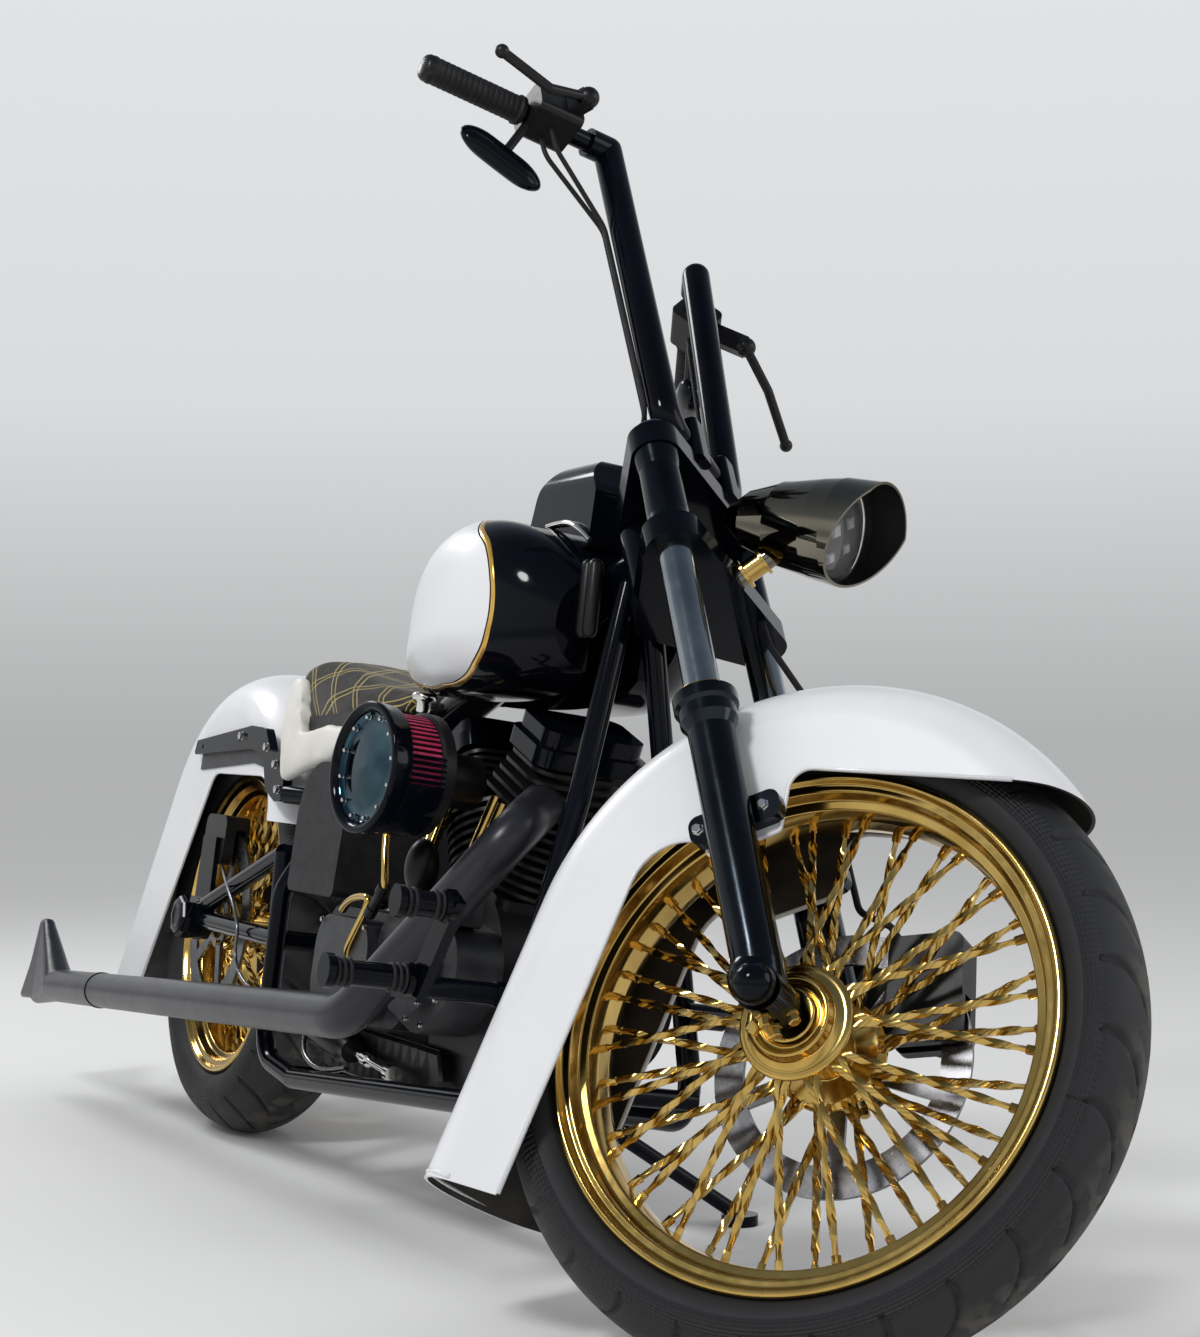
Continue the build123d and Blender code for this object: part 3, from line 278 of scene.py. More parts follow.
# The knurled band on a tyre's wall, from 0 at the crown to 1 at the bead, and its count round and across
KNURL_FROM, KNURL_TO, KNURL_ROUND, KNURL_ACROSS = 0.62, 0.80, 1000.0, 130.0


def tyre_rubber():
    """Black rubber with a knurled band on the sidewall and brown dust on the tread, from the UV map."""
    mat, nodes, links, shader = blank("tyre_rubber")
    put(shader, Specular_IOR_Level=0.35)
    maths = calculator(nodes, links)
    round_way, across_way = surface_map(nodes, links)
    beyond, within = maths("GREATER_THAN", across_way, KNURL_FROM), maths("LESS_THAN", across_way, KNURL_TO)
    band = maths("MULTIPLY", beyond, within)
    along, over = maths("MULTIPLY", round_way, KNURL_ROUND), maths("MULTIPLY", across_way, KNURL_ACROSS)
    one, other = maths("SINE", maths("ADD", along, over)), maths("SINE", maths("SUBTRACT", along, over))
    knurl = maths("MULTIPLY", maths("MULTIPLY", one, other), band)
    grain = noise(nodes, links, 1400, 3)
    height = maths("ADD", maths("MULTIPLY", knurl, 0.8), maths("MULTIPLY", grain, 0.25))
    bump(nodes, links, shader, height, 0.9, 0.0014)
    dirt = noise(nodes, links, 34, 8)
    tread = node(nodes, "ShaderNodeMapRange", From_Min=0.42, From_Max=0.12, To_Min=0.0, To_Max=0.42)
    links.new(across_way, tread.inputs["Value"])
    dusty = maths("MULTIPLY", tread.outputs["Result"], maths("GREATER_THAN", dirt, 0.50))
    patches = ramp(nodes, links, dirt, [(0.46, (0.0, 0.0, 0.0)), (0.60, (1.0, 1.0, 1.0))])
    amount = maths("MULTIPLY", dusty, patches)
    colour = mixed(nodes, links, amount, (0.016, 0.0165, 0.018), (0.135, 0.118, 0.092))
    links.new(colour, shader.inputs["Base Color"])
    roughness(nodes, links, shader, dirt, 0.48, 0.72)
    return mat


# The seat cloth: its repeat, its two lines' places in it, their half width and its threads' count
PLAID_REPEAT, PLAID_LINES, PLAID_HALF, THREADS = 0.092, (0.40, 0.56), 0.019, 5200.0


def tartan():
    """Charcoal cloth with pairs of fine yellow lines crossing on the diagonal; the UV map is in metres."""
    mat, nodes, links, shader = blank("tartan_cloth")
    put(shader, Sheen_Weight=0.25, Specular_IOR_Level=0.2)
    maths = calculator(nodes, links)
    along, across = surface_map(nodes, links)
    lines = 0.0
    for way in (maths("ADD", along, across), maths("SUBTRACT", along, across)):
        place = maths("FRACT", maths("ADD", maths("MULTIPLY", way, 1 / PLAID_REPEAT), 50.0))
        for middle in PLAID_LINES:
            from_middle = maths("ABSOLUTE", maths("SUBTRACT", place, middle))
            lines = maths("MAXIMUM", lines, maths("LESS_THAN", from_middle, PLAID_HALF))
    waves = [maths("SINE", maths("MULTIPLY", way, THREADS)) for way in (along, across)]
    clouds = noise(nodes, links, 45, 5)
    ground = ramp(nodes, links, clouds, [(0.3, (0.008, 0.007, 0.006)), (0.7, (0.024, 0.020, 0.017))])
    links.new(mixed(nodes, links, lines, ground, (0.42, 0.33, 0.09)), shader.inputs["Base Color"])
    roughness(nodes, links, shader, clouds, 0.75, 0.95)
    bump(nodes, links, shader, maths("MULTIPLY", *waves), 0.5, 0.0004)
    return mat


TYRE, TARTAN = tyre_rubber(), tartan()

# Outlines and faces


def skin(rows, size, base=0, rows_close=False, size_closes=True):
    """Faces over rows of size points each, which start at base. Either direction may close on itself."""
    faces = []
    for row in range(rows if rows_close else rows - 1):
        here, there = base + row * size, base + (row + 1) % rows * size
        for i in range(size if size_closes else size - 1):
            j = (i + 1) % size
            faces.append((here + i, here + j, there + j, there + i))
    return faces


def fan(base, count, tip):
    """Triangles from a ring of points to one point."""
    return [(base + k, base + (k + 1) % count, tip) for k in range(count)]


def ends(base, count, rows):
    """The two faces that close the ends of a tube of rings."""
    last = base + (rows - 1) * count
    return [tuple(base + k for k in reversed(range(count))), tuple(last + k for k in range(count))]


def frame_at(start, end):
    """Two directions square to the line from start to end, and that line's direction."""
    way = (end - start).normalized()
    helper = UP if abs(way.z) < 0.9 else AHEAD
    right = way.cross(helper).normalized()
    return right, way.cross(right).normalized(), way


def circle(centre, right, up, radius, count):
    """Points evenly round a circle that the directions right and up span."""
    turns = [2 * math.pi * k / count for k in range(count)]
    return [centre + right * (radius * math.cos(a)) + up * (radius * math.sin(a)) for a in turns]


def around(centre, radius, degrees, left=0.0):
    """A point round a crosswise axis: its radius, its angle up from straight ahead, its shift to the left."""
    angle = math.radians(degrees)
    return centre + at(radius * math.cos(angle), left, radius * math.sin(angle))


def mirrored(outline):
    """The same outline on the other side, back to front."""
    return [(-a, r) for a, r in reversed(outline)]


def neighbours(ring):
    """Each point of a closed ring, between the one before it and the one after it."""
    return zip(ring[-1:] + ring[:-1], ring, ring[1:] + ring[:1])


def moved_in(ring, by):
    """A closed flat ring moved to the left of its own direction."""
    result = []
    for before, here, after in neighbours(ring):
        way = (after - before).normalized()
        result.append(here + Vector((-way.y, way.x)) * by)
    return result


def rounded(outline, radius, closed=True):
    """Cut every corner of an outline with three short edges."""
    result, count = [], len(outline)
    for i, corner in enumerate(outline):
        here = Vector(corner)
        if not closed and i in (0, count - 1):
            result.append(tuple(here))
            continue
        before, after = Vector(outline[i - 1]), Vector(outline[(i + 1) % count])
        cut = min(radius, (before - here).length * 0.4, (after - here).length * 0.4)
        a = here + (before - here).normalized() * cut
        b = here + (after - here).normalized() * cut
        for share in (0.0, 0.33, 0.67, 1.0):
            result.append(tuple(a.lerp(here, share).lerp(here.lerp(b, share), share)))
    return result


def arcs(corners, steps=8, closed=True):
    """Points along a flat outline whose rows are x, z and corner radius."""
    result, count = [], len(corners)
    for i, (x, z, radius) in enumerate(corners):
        here = Vector((x, z))
        if not closed and i in (0, count - 1):
            result.append(here)
            continue
        before = (Vector(corners[i - 1][:2]) - here).normalized()
        after = (Vector(corners[(i + 1) % count][:2]) - here).normalized()
        half = 0.5 * before.angle(after)
        cut = radius / math.tan(half)
        middle = here + (before + after).normalized() * (radius / math.sin(half))
        a, b = here + before * cut - middle, here + after * cut - middle
        whole = a.angle_signed(b)
        result += [middle + Matrix.Rotation(-whole * step / steps, 2) @ a for step in range(steps + 1)]
    return result


def arc_through(p, q, r, count):
    """Points on the circle through three points, from p to r."""
    (ax, ay), (bx, by), (cx, cy) = p, q, r
    twice_area = 2 * (ax * (by - cy) + bx * (cy - ay) + cx * (ay - by))
    aa, bb, cc = ax**2 + ay**2, bx**2 + by**2, cx**2 + cy**2
    x = (aa * (by - cy) + bb * (cy - ay) + cc * (ay - by)) / twice_area
    y = (aa * (cx - bx) + bb * (ax - cx) + cc * (bx - ax)) / twice_area
    first, last, radius = math.atan2(ay - y, ax - x), math.atan2(cy - y, cx - x), math.hypot(ax - x, ay - y)
    angles = [first + (last - first) * i / count for i in range(count + 1)]
    return [(x + radius * math.cos(a), y + radius * math.sin(a)) for a in angles]


def table_at(rows, x, column):
    """A column's value at x, between the rows of a table that starts with x."""
    for left, right in zip(rows, rows[1:]):
        if x <= right[0]:
            share = max(0.0, (x - left[0]) / (right[0] - left[0]))
            return left[column] + (right[column] - left[column]) * share
    return rows[-1][column]


def unit(value):
    """A value kept between 0 and 1."""
    return min(1.0, max(0.0, value))


# Makers of pieces

PLACING = {"machine": PLACED, "rear_wheel": PLACED, "fork": STEERED, "front_wheel": STEERED}


def place_mesh(name, data, material, body):
    """Put a mesh of the upright bike where its body stands."""
    data.transform(PLACING[body])
    made = bpy.data.objects.new(name, data)
    bpy.context.scene.collection.objects.link(made)
    data.materials.clear()
    data.materials.append(material)
    return made


def dress(made, body, replaced, slot):
    """Let a piece ride on its body, in place of CAD nodes."""
    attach(made, body)
    for cad_node in replaced:
        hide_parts(cad_node)
    return made


def crisp_edges(data, degrees):
    """Smooth shading that keeps edges above this angle crisp."""
    data.set_sharp_from_angle(angle=math.radians(degrees))


def mesh_object(name, points, faces, material, body, smooth=True, crisp=None, uvs=None):
    """A placed mesh from points on the upright bike and faces, with normals that look outward."""
    data = bpy.data.meshes.new(name)
    data.from_pydata([tuple(p) for p in points], [], faces)
    if uvs:
        layer = data.uv_layers.new(name="UVMap")
        for loop in data.loops:
            layer.data[loop.index].uv = uvs[loop.vertex_index]
    made = place_mesh(name, data, material, body)
    outward = bmesh.new()
    outward.from_mesh(data)
    bmesh.ops.recalc_face_normals(outward, faces=outward.faces)
    outward.to_mesh(data)
    outward.free()
    for polygon in data.polygons:
        polygon.use_smooth = smooth
    if crisp:
        crisp_edges(data, crisp)
    return made


def mesh_piece(name, points, faces, material, body, *replaced, slot=None, **look):
    """The same, riding on its body."""
    return dress(mesh_object(name, points, faces, material, body, **look), body, replaced, slot)


def revolve(name, outline, centre, axis, steps, material, body, *replaced, closed=False, **how):
    """Turn an outline of (along the axis, radius) about an axis through centre."""
    right, up, way = frame_at(centre, centre + axis)
    points = []
    for step in range(steps):
        angle = 2 * math.pi * step / steps
        out = right * math.cos(angle) + up * math.sin(angle)
        points += [centre + way * a + out * r for a, r in outline]
    faces = skin(steps, len(outline), rows_close=True, size_closes=closed)
    mesh_piece(name, points, faces, material, body, *replaced, **how)


def bars(name, rows, material, body, *replaced, slot=None, sides=6, smooth=True, twist=0.0, flat=1.0):
    """Straight bars in one mesh. A row is start, end and a list of (share of the length, radius).
    twist is in radians a metre, and flat is the share of the radius that every second point keeps."""
    points, faces = [], []
    for start, end, stations in rows:
        right, up, way = frame_at(start, end)
        long, base = (end - start).length, len(points)
        for share, radius in stations:
            for k in range(sides):
                angle = 2 * math.pi * k / sides + twist * share * long
                out = right * math.cos(angle) + up * math.sin(angle)
                points.append(start + way * (share * long) + out * (radius * (flat if k % 2 else 1)))
        faces += skin(len(stations), sides, base) + ends(base, sides, len(stations))
    crisp = 44 if smooth else None
    mesh_piece(name, points, faces, material, body, *replaced, slot=slot, smooth=smooth, crisp=crisp)


def bolts(name, body, radius, height, places, material=PLATED, slot="chrome"):
    """Hexagon heads on washers in one mesh. A place is a point and a direction."""
    head = [(0, radius * 1.25), (0.18, radius * 1.25), (0.19, radius), (0.9, radius), (1, radius * 0.86)]
    rows = [(point, point + way.normalized() * height, head) for point, way in places]
    bars(name, rows, material, body, slot=slot, smooth=False)


def bolt_circle(centre, radius, left, way, count, first=0):
    """Places for bolts evenly round a crosswise axis, from the angle first on."""
    return [(around(centre, radius, first + k * 360 / count, left), way) for k in range(count)]


def tube(name, points, radius, material, slot):
    """A round tube on the machine, along a smooth line near these points."""
    curve = bpy.data.curves.new(name, "CURVE")
    curve.dimensions = "3D"
    curve.bevel_depth = radius
    curve.bevel_resolution = 3
    curve.resolution_u = 6
    curve.use_fill_caps = True
    spline = curve.splines.new("NURBS")
    spline.points.add(len(points) - 1)
    for target, point in zip(spline.points, points):
        target.co = (*point, 1)
    spline.order_u = 3
    spline.use_endpoint_u = True
    holder = bpy.data.objects.new(name, curve)
    bpy.context.scene.collection.objects.link(holder)
    bpy.context.view_layer.update()
    data = bpy.data.meshes.new_from_object(holder.evaluated_get(bpy.context.evaluated_depsgraph_get()))
    bpy.data.objects.remove(holder)
    data.name = name
    dress(place_mesh(name, data, material, "machine"), "machine", (), slot)
    for polygon in data.polygons:
        polygon.use_smooth = True


def ring_tube(name, runs, radius, material, body, slot, closed=False):
    """Six-sided tubes straight through their points, in one mesh."""
    sides, points, faces = 6, [], []
    for run in runs:
        base, count, up = len(points), len(run), None
        for i, point in enumerate(run):
            before = run[i - 1] if i or closed else run[0]
            after = run[(i + 1) % count] if i + 1 < count or closed else run[-1]
            way = (after - before).normalized()
            if up is None:
                up = frame_at(point, point + way)[1]
            up = (up - way * up.dot(way)).normalized()
            points += circle(point, way.cross(up), up, radius, sides)
        faces += skin(count, sides, base, rows_close=closed)
        if not closed:
            faces += ends(base, sides, count)
    mesh_piece(name, points, faces, material, body, slot=slot)


# The CAD nodes' finishes

NODE_FINISHES = (
    (GLOSS_BLACK, "frame swingarm rocker_boxes primary_cover air_cleaner fuel_tank tank_console"),
    (GLOSS_BLACK, "fender_struts foot_controls horn front_axle triple_trees handlebar side_stand"),
    (SATIN_BLACK, "front_cylinder rear_cylinder crankcase rear_caliper front_caliper regulator"),
    (SATIN_BLACK, "hand_controls mirrors"),
    (BLACK_CHROME, "fork_sliders fork_covers"),
    (SMOKED_CHROME, "headlamp"),
    (CHROME, "fork_tubes"),
    (STEEL, "rear_axle front_disc rear_disc"),
    (GOLD, "pushrod_tubes front_rim rear_rim rear_pulley"),
    (WHITE, "front_fender rear_fender"),
    (CAST_GREY, "cam_cover transmission"),
    (WRINKLE, "oil_tank"),
    (EXHAUST, "exhausts"),
    (PLEATS, "air_filter"),
    (LEATHER, "seat"),
    (RUBBER, "drive_belt grips cables"),
    (TYRE, "front_tyre rear_tyre"),
    (RED_LENS, "tail_lamp"),
    (LENS_GLASS, "headlamp_lens"),
)
for material, names in NODE_FINISHES:
    for name in names.split():
        data = NODES[name].data
        data.materials.clear()
        data.materials.append(material)
        for polygon in data.polygons:
            polygon.use_smooth = True
        crisp_edges(data, 28)


def darken(name, middle, matrix, material, looks_in):
    """Paint shade on a CAD node's faces that look in: give them a second, dark material, told from the middle
    and the normal.
    """
    data, back = NODES[name].data, matrix.inverted()
    data.materials.append(material)
    for polygon in data.polygons:
        if looks_in(back @ polygon.center - middle, back.to_3x3() @ polygon.normal):
            polygon.material_index = 1


def under_fender(place, normal):
    """Whether a fender's face looks at the wheel."""
    inward = Vector((place.x, place.y * 1.4, max(place.z, 0.0)))
    return normal.dot(inward) < -0.25 * inward.length


def inside_visor(place, normal):
    """Whether a face ahead of the lamp looks at its axis, and so takes the painted shade inside the visor."""
    return place.x > -0.03 and place.y * normal.y + place.z * normal.z < -0.2 * math.hypot(place.y, place.z)


FRONT_MIDDLE, REAR_MIDDLE = FRONT_AXLE + at(-0.022, 0, 0.056), at(-0.020, 0, 0.385)
LAMP = FRONT_AXLE + at(-0.208, 0, 0.587)
# Painted shade under both fenders: their faces that look at the wheel take the dark brown.
darken("front_fender", FRONT_MIDDLE, STEERED, UNDERSIDE_SHADE, under_fender)
darken("rear_fender", REAR_MIDDLE, PLACED, UNDERSIDE_SHADE, under_fender)
# Painted shade inside the headlamp's visor: satin black on the chrome faces that look at the lamp's axis.
darken("headlamp", LAMP, STEERED, SATIN_BLACK, inside_visor)

# Wheels

# name, axle, radius and half width of the rim, radius and half width of the tyre
WHEELS = (
    ("front", FRONT_AXLE, 0.2816, 0.053, FRONT_TYRE_R, 0.060),
    ("rear", REAR_AXLE, 0.2432, 0.066, REAR_TYRE_R, 0.078),
)
HUB = [
    (0.0, 0.030), (0.038, 0.030), (0.042, 0.056), (0.047, 0.0625), (0.051, 0.0625), (0.0535, 0.0585),
    (0.0540, 0.054), (0.0585, 0.0465), (0.0690, 0.0440), (0.0705, 0.0405), (0.0640, 0.0365), (0.0640, 0.0320),
    (0.0725, 0.0290), (0.0725, 0.0128),
]
SPOKES_A_SIDE, SPOKE_HUB_R, SPOKE_LEAD, SPOKE_APART = 25, 0.050, 16, 3.6
SPOKE_TWIST = 2 * math.pi / 0.150
# A thin neck at the hub, the twisted length, and the nipple at the rim
SPOKE = [(0, 0.0040), (0.05, 0.0042)] + [(0.075 + 0.0125 * k, 0.0047) for k in range(63)]
SPOKE += [(0.868, 0.0036), (0.935, 0.0034), (0.938, 0.0050), (0.985, 0.0052), (1, 0.0046)]
TYRE_STEPS = 760
# A tread's grooves: count round, width, depth, and their start and widest place, as shares of the half tread
GROOVES, GROOVE_WIDE, GROOVE_DEEP, GROOVE_FROM, GROOVE_WIDEST = 28, 0.0050, 0.0058, 0.10, 0.85


def rim_outline(lip, half):
    """The stepped rim's section, from its left lip over the well to the right, and back underneath."""
    outer = [
        (half - 0.003, lip), (half - 0.0075, lip - 0.001), (half - 0.0085, lip - 0.0131),
        (0.022, lip - 0.015), (0.014, lip - 0.028),
    ]
    inner = [
        (0.012, lip - 0.038), (half - 0.024, lip - 0.034), (half - 0.022, lip - 0.024),
        (half - 0.008, lip - 0.020), (half - 0.008, lip - 0.012), (half, lip - 0.008), (half, lip - 0.003),
    ]
    return outer + mirrored(outer) + mirrored(inner) + inner


def spoke_rows(axle, lip):
    """Spokes that leave the hub leading and trailing by turns."""
    rows = []
    for step in range(SPOKES_A_SIDE):
        for side in (-1, 1):
            turn = step * 360 / SPOKES_A_SIDE + SPOKE_APART * side
            lead = SPOKE_LEAD if step % 2 else -SPOKE_LEAD
            foot = around(axle, SPOKE_HUB_R, turn + lead, side * 0.046)
            rows.append((foot, around(axle, lip - 0.036, turn, side * 0.009), SPOKE))
    return rows


def tread_depth(turn, across, girth):
    """How far the rubber drops at this place: long curved grooves that start at the shoulder and swing
    round towards the crown. turn is 0 to 1 round the wheel, across is -1 to 1 over the tread."""
    s = abs(across)
    if s < GROOVE_FROM or s > 1.0:
        return 0.0
    lag = 0.75 * (1 - s) ** 1.6 - 0.12 * math.sin(math.pi * s)
    place = (turn * GROOVES + lag + (0.5 if across > 0 else 0.0)) % 1.0
    gap = min(place, 1 - place) * girth / GROOVES
    width = GROOVE_WIDE * (0.5 + 0.9 * s if s < GROOVE_WIDEST else 1.26 - 5.0 * (s - GROOVE_WIDEST))
    return GROOVE_DEEP * unit(1.6 * (1 - gap / width)) if width > 0 else 0.0


def tyre(name, axle, lip, rim_half, crown, half, body, replaced):
    """A tyre with its grooves. Its UV map runs round the wheel and from the crown to the bead."""
    bead, seat = lip - 0.013, rim_half - 0.0085
    middle, shoulder = bead + 0.5 * (crown - bead), crown - 0.34 * (crown - bead)
    tread = arc_through((half - 0.006, shoulder), (0, crown), (0.006 - half, shoulder), 60)
    wall = arc_through((seat, bead + 0.013), (half, middle), (half - 0.006, shoulder), 14)
    outline = [(seat, bead)] + wall + tread[1:-1] + mirrored(wall) + [(-seat, bead)]
    first, halfway = len(wall), (len(outline) - 1) / 2
    last = first + len(tread) - 1
    points, uvs = [], []
    for step in range(TYRE_STEPS):
        turn = step / TYRE_STEPS
        for i, (left, radius) in enumerate(outline):
            drop = 0.0
            if first <= i <= last:
                drop = tread_depth(turn, 1 - 2 * (i - first) / (last - first), 2 * math.pi * crown)
            elif i in (first - 4, last + 4):
                drop = 0.0008
            points.append(around(axle, radius - drop, 360 * turn, left))
            uvs.append((turn, abs(i - halfway) / halfway))
    mesh_piece(name, points, skin(TYRE_STEPS, len(outline), rows_close=True), TYRE, body, replaced, uvs=uvs)


for wheel, axle, lip, rim_half, crown, tyre_half in WHEELS:
    body, rim = wheel + "_wheel", wheel + "_rim"
    section, shell = rounded(rim_outline(lip, rim_half), 0.0022), rounded(HUB + mirrored(HUB[1:]), 0.002)
    revolve(wheel + "_rim_hoop", section, axle, LEFT, 160, GOLD, body, rim, slot="gold_plate", closed=True)
    revolve(wheel + "_hub", shell, axle, LEFT, 64, GOLD, body, rim, slot="gold_plate", closed=True)
    bars(
        wheel + "_spokes", spoke_rows(axle, lip), GOLD, body, rim,
        slot="gold_plate", sides=8, twist=SPOKE_TWIST, flat=0.84,
    )
    tyre(wheel + "_tyre_tread", axle, lip, rim_half, crown, tyre_half, body, wheel + "_tyre")

# The tank's white side panels and gold lines

TANK_MESH, TANK_BACK = NODES["fuel_tank"].data, PLACED.inverted() @ NODES["fuel_tank"].matrix_world
TANK = BVHTree.FromPolygons(
    [TANK_BACK @ v.co for v in TANK_MESH.vertices], [p.vertices for p in TANK_MESH.polygons]
)
TANK_MIDDLES = ((0.655, 0.748), (0.760, 0.776), (0.930, 0.800), (1.060, 0.796), (1.160, 0.780))
# x, angle from the top to the panel's upper edge, and to its lower edge, in degrees
PANEL_ROWS = (
    (0.684, 92, 94), (0.690, 78, 104), (0.705, 62, 114), (0.730, 50, 122), (0.770, 41, 127), (0.860, 32, 131),
    (0.930, 36, 130.6), (0.980, 46, 129), (1.026, 57.5, 125.5), (1.055, 61.4, 121.5), (1.075, 66, 116),
    (1.090, 72.5, 111), (1.0965, 80, 106), (1.0995, 92, 96),
)
# The radius that turns those angles into lengths, points round the panel and rings across it
PANEL_R, PANEL_STEPS, PANEL_RINGS = 0.14, 150, 26


def on_tank(place, side, lift):
    """The tank's skin at a place of the panel laid flat, raised a little."""
    angle = place.y / PANEL_R
    middle = at(place.x, 0, table_at(TANK_MIDDLES, place.x, 1))
    out = at(0, side * math.sin(angle), math.cos(angle))
    hit, normal, _, _ = TANK.ray_cast(middle + out * 0.4, -out)
    return hit + normal * math.copysign(lift, normal.dot(out))


def panel_edge():
    """The panel's outline laid flat, evenly spaced and smoothed, upper edge first."""
    corners = [(x, high) for x, high, low in PANEL_ROWS] + [(x, low) for x, high, low in reversed(PANEL_ROWS)]
    starts = [Vector((x, math.radians(angle) * PANEL_R)) for x, angle in corners]
    stops = starts[1:] + starts[:1]
    lengths = [(stop - start).length for start, stop in zip(starts, stops)]
    walked, i, places = 0.0, 0, []
    for step in range(PANEL_STEPS):
        target = sum(lengths) * step / PANEL_STEPS
        while walked + lengths[i] < target:
            walked += lengths[i]
            i += 1
        places.append(starts[i].lerp(stops[i], (target - walked) / lengths[i]))
    for _ in range(6):
        places = [(before + here * 2 + after) / 4 for before, here, after in neighbours(places)]
    return places


PANEL_EDGE = panel_edge()
PANEL_HEART = sum(PANEL_EDGE, Vector((0, 0))) / PANEL_STEPS
for side, word in SIDES:
    inner = moved_in(PANEL_EDGE, 0.0046)
    shares = [1 - (ring / PANEL_RINGS) ** 1.3 for ring in range(PANEL_RINGS)]
    places = [PANEL_HEART + (p - PANEL_HEART) * share for share in shares for p in inner]
    points = [on_tank(place, side, 0.0005) for place in places + [PANEL_HEART]]
    last_ring = (PANEL_RINGS - 1) * PANEL_STEPS
    faces = skin(PANEL_RINGS, PANEL_STEPS) + fan(last_ring, PANEL_STEPS, len(points) - 1)
    mesh_piece(f"tank_panel_{word}", points, faces, WHITE, "machine", slot="white_paint")
    rows = ((-0.0030, 0.0001), (-0.0018, 0.0009), (0.0018, 0.0009), (0.0030, 0.0001))
    points = [on_tank(p, side, lift) for inset, lift in rows for p in moved_in(PANEL_EDGE, inset)]
    mesh_piece(f"tank_line_{word}", points, skin(4, PANEL_STEPS), PINSTRIPE, "machine", slot="gold_plate")

# Fender beads: the rolled wire along both skirts and round the open foot of a fender

# x from the axle, z and corner radius of each skirt's lower edge
FRONT_EDGE = (
    (-0.232, 0.086, 0.001), (-0.229, 0.504, 0.062), (-0.158, 0.504, 0.005), (-0.150, 0.489, 0.006),
    (-0.080, 0.535, 0.008), (-0.096, 0.608, 0.024), (0.150, 0.642, 0.2),
)
REAR_EDGE = ((-0.343, 0.177, 0.001), (-0.068, 0.571, 0.045), (0.240, 0.570, 0.066), (0.240, 0.501, 0.001))
BEAD_R, BEAD_STEPS, TAIL_LEAN, TAIL_CUT = 0.0026, 36, math.radians(31), 0.1765


def fender_bead(name, corners, axle, middle, reach, half, crown, foot, body):
    """reach and half are the fender's outer radius and half width, crown the height of its round top, and
    foot gives the points of its open end."""
    straight = reach - crown
    outline = [at(axle.x + p.x, 0, p.y) for p in arcs(corners, 8, False)]
    edge = [p for p in outline if (p - middle).length < straight + 0.02 or p.z < middle.z]
    runs = [[p + LEFT * (side * (half - 0.0015)) for p in edge] for side in (-1, 1)]
    turns = [math.pi * k / BEAD_STEPS for k in range(BEAD_STEPS + 1)]
    runs.append([foot(half * math.cos(a), straight + crown * math.sin(a)) for a in turns])
    ring_tube(name, runs, BEAD_R, WHITE, body, "white_paint")


def front_foot(left, reach):
    """The front fender's foot, which falls a little towards the front."""
    x = FRONT_MIDDLE.x - reach
    return at(x, left, 0.084 - (x - WHEELBASE + 0.231) * 0.0317)


def rear_foot(left, reach):
    """The rear fender's foot: where its straight tail meets the height of the cut."""
    top = REAR_MIDDLE + at(-math.cos(TAIL_LEAN), 0, math.sin(TAIL_LEAN)) * reach
    down = at(-math.sin(TAIL_LEAN), 0, -math.cos(TAIL_LEAN))
    return top + down * ((top.z - TAIL_CUT) / -down.z) + LEFT * left


fender_bead(
    "front_fender_bead", FRONT_EDGE, FRONT_AXLE, FRONT_MIDDLE, 0.3385, 0.086, 0.066, front_foot, "fork"
)
fender_bead("rear_fender_bead", REAR_EDGE, REAR_AXLE, REAR_MIDDLE, 0.3605, 0.106, 0.075, rear_foot, "machine")

# Air cleaner

AIR_TURN, AIR_MIDDLE = math.radians(8), at(1.045, -0.262, 0.573)
AIR_OUT = at(math.sin(AIR_TURN), -math.cos(AIR_TURN), 0)
AIR_AHEAD = at(math.cos(AIR_TURN), math.sin(AIR_TURN), 0)
# The drum's first angle, its turn and steps; the element's pleats
DRUM_FROM, DRUM_TURN, DRUM_STEPS, PLEAT_COUNT = 114, 236, 80, 60
# angle within a pleat's six degrees, and radius
PLEAT = ((0, 0.0722), (2.6, 0.0722), (3.4, 0.0662), (5.4, 0.0662))


def air(out, radius, degrees):
    """A point round the air cleaner: outward from its face, radius and angle."""
    a = math.radians(degrees)
    return AIR_MIDDLE + AIR_OUT * out + AIR_AHEAD * (radius * math.cos(a)) + UP * (radius * math.sin(a))


def air_round(name, outline, steps, material, **how):
    """A part turned about the air cleaner's axis."""
    revolve(name, outline, AIR_MIDDLE, AIR_OUT, steps, material, "machine", "air_cleaner", **how)


shell = [(-0.026, 0.060), (-0.026, 0.079), (-0.002, 0.0815), (0.001, 0.080), (0.002, 0.076), (0.0005, 0.072)]
shell += [(-0.003, 0.069), (-0.006, 0.068)]
air_round("air_cleaner_shell", rounded(shell, 0.0015, False), 96, GLOSS_BLACK)
face = [(-0.0040, 0.0695), (-0.0085, 0.0665), (-0.0105, 0.060), (-0.0085, 0.045), (-0.0050, 0.025)]
# The cleaner's dark chrome face, tinted blue as a painted sky reflection.
air_round("air_cleaner_face", face + [(-0.0040, 0.0005)], 96, CHROME_PAINTED_SKY_BLUE)
back = [(-0.070, 0.0005), (-0.070, 0.074), (-0.074, 0.0765), (-0.088, 0.0765), (-0.090, 0.074)]
back += [(-0.090, 0.034), (-0.158, 0.034), (-0.158, 0.0005)]
air_round("air_cleaner_back", back, 72, SATIN_BLACK, slot="engine_black", crisp=30)

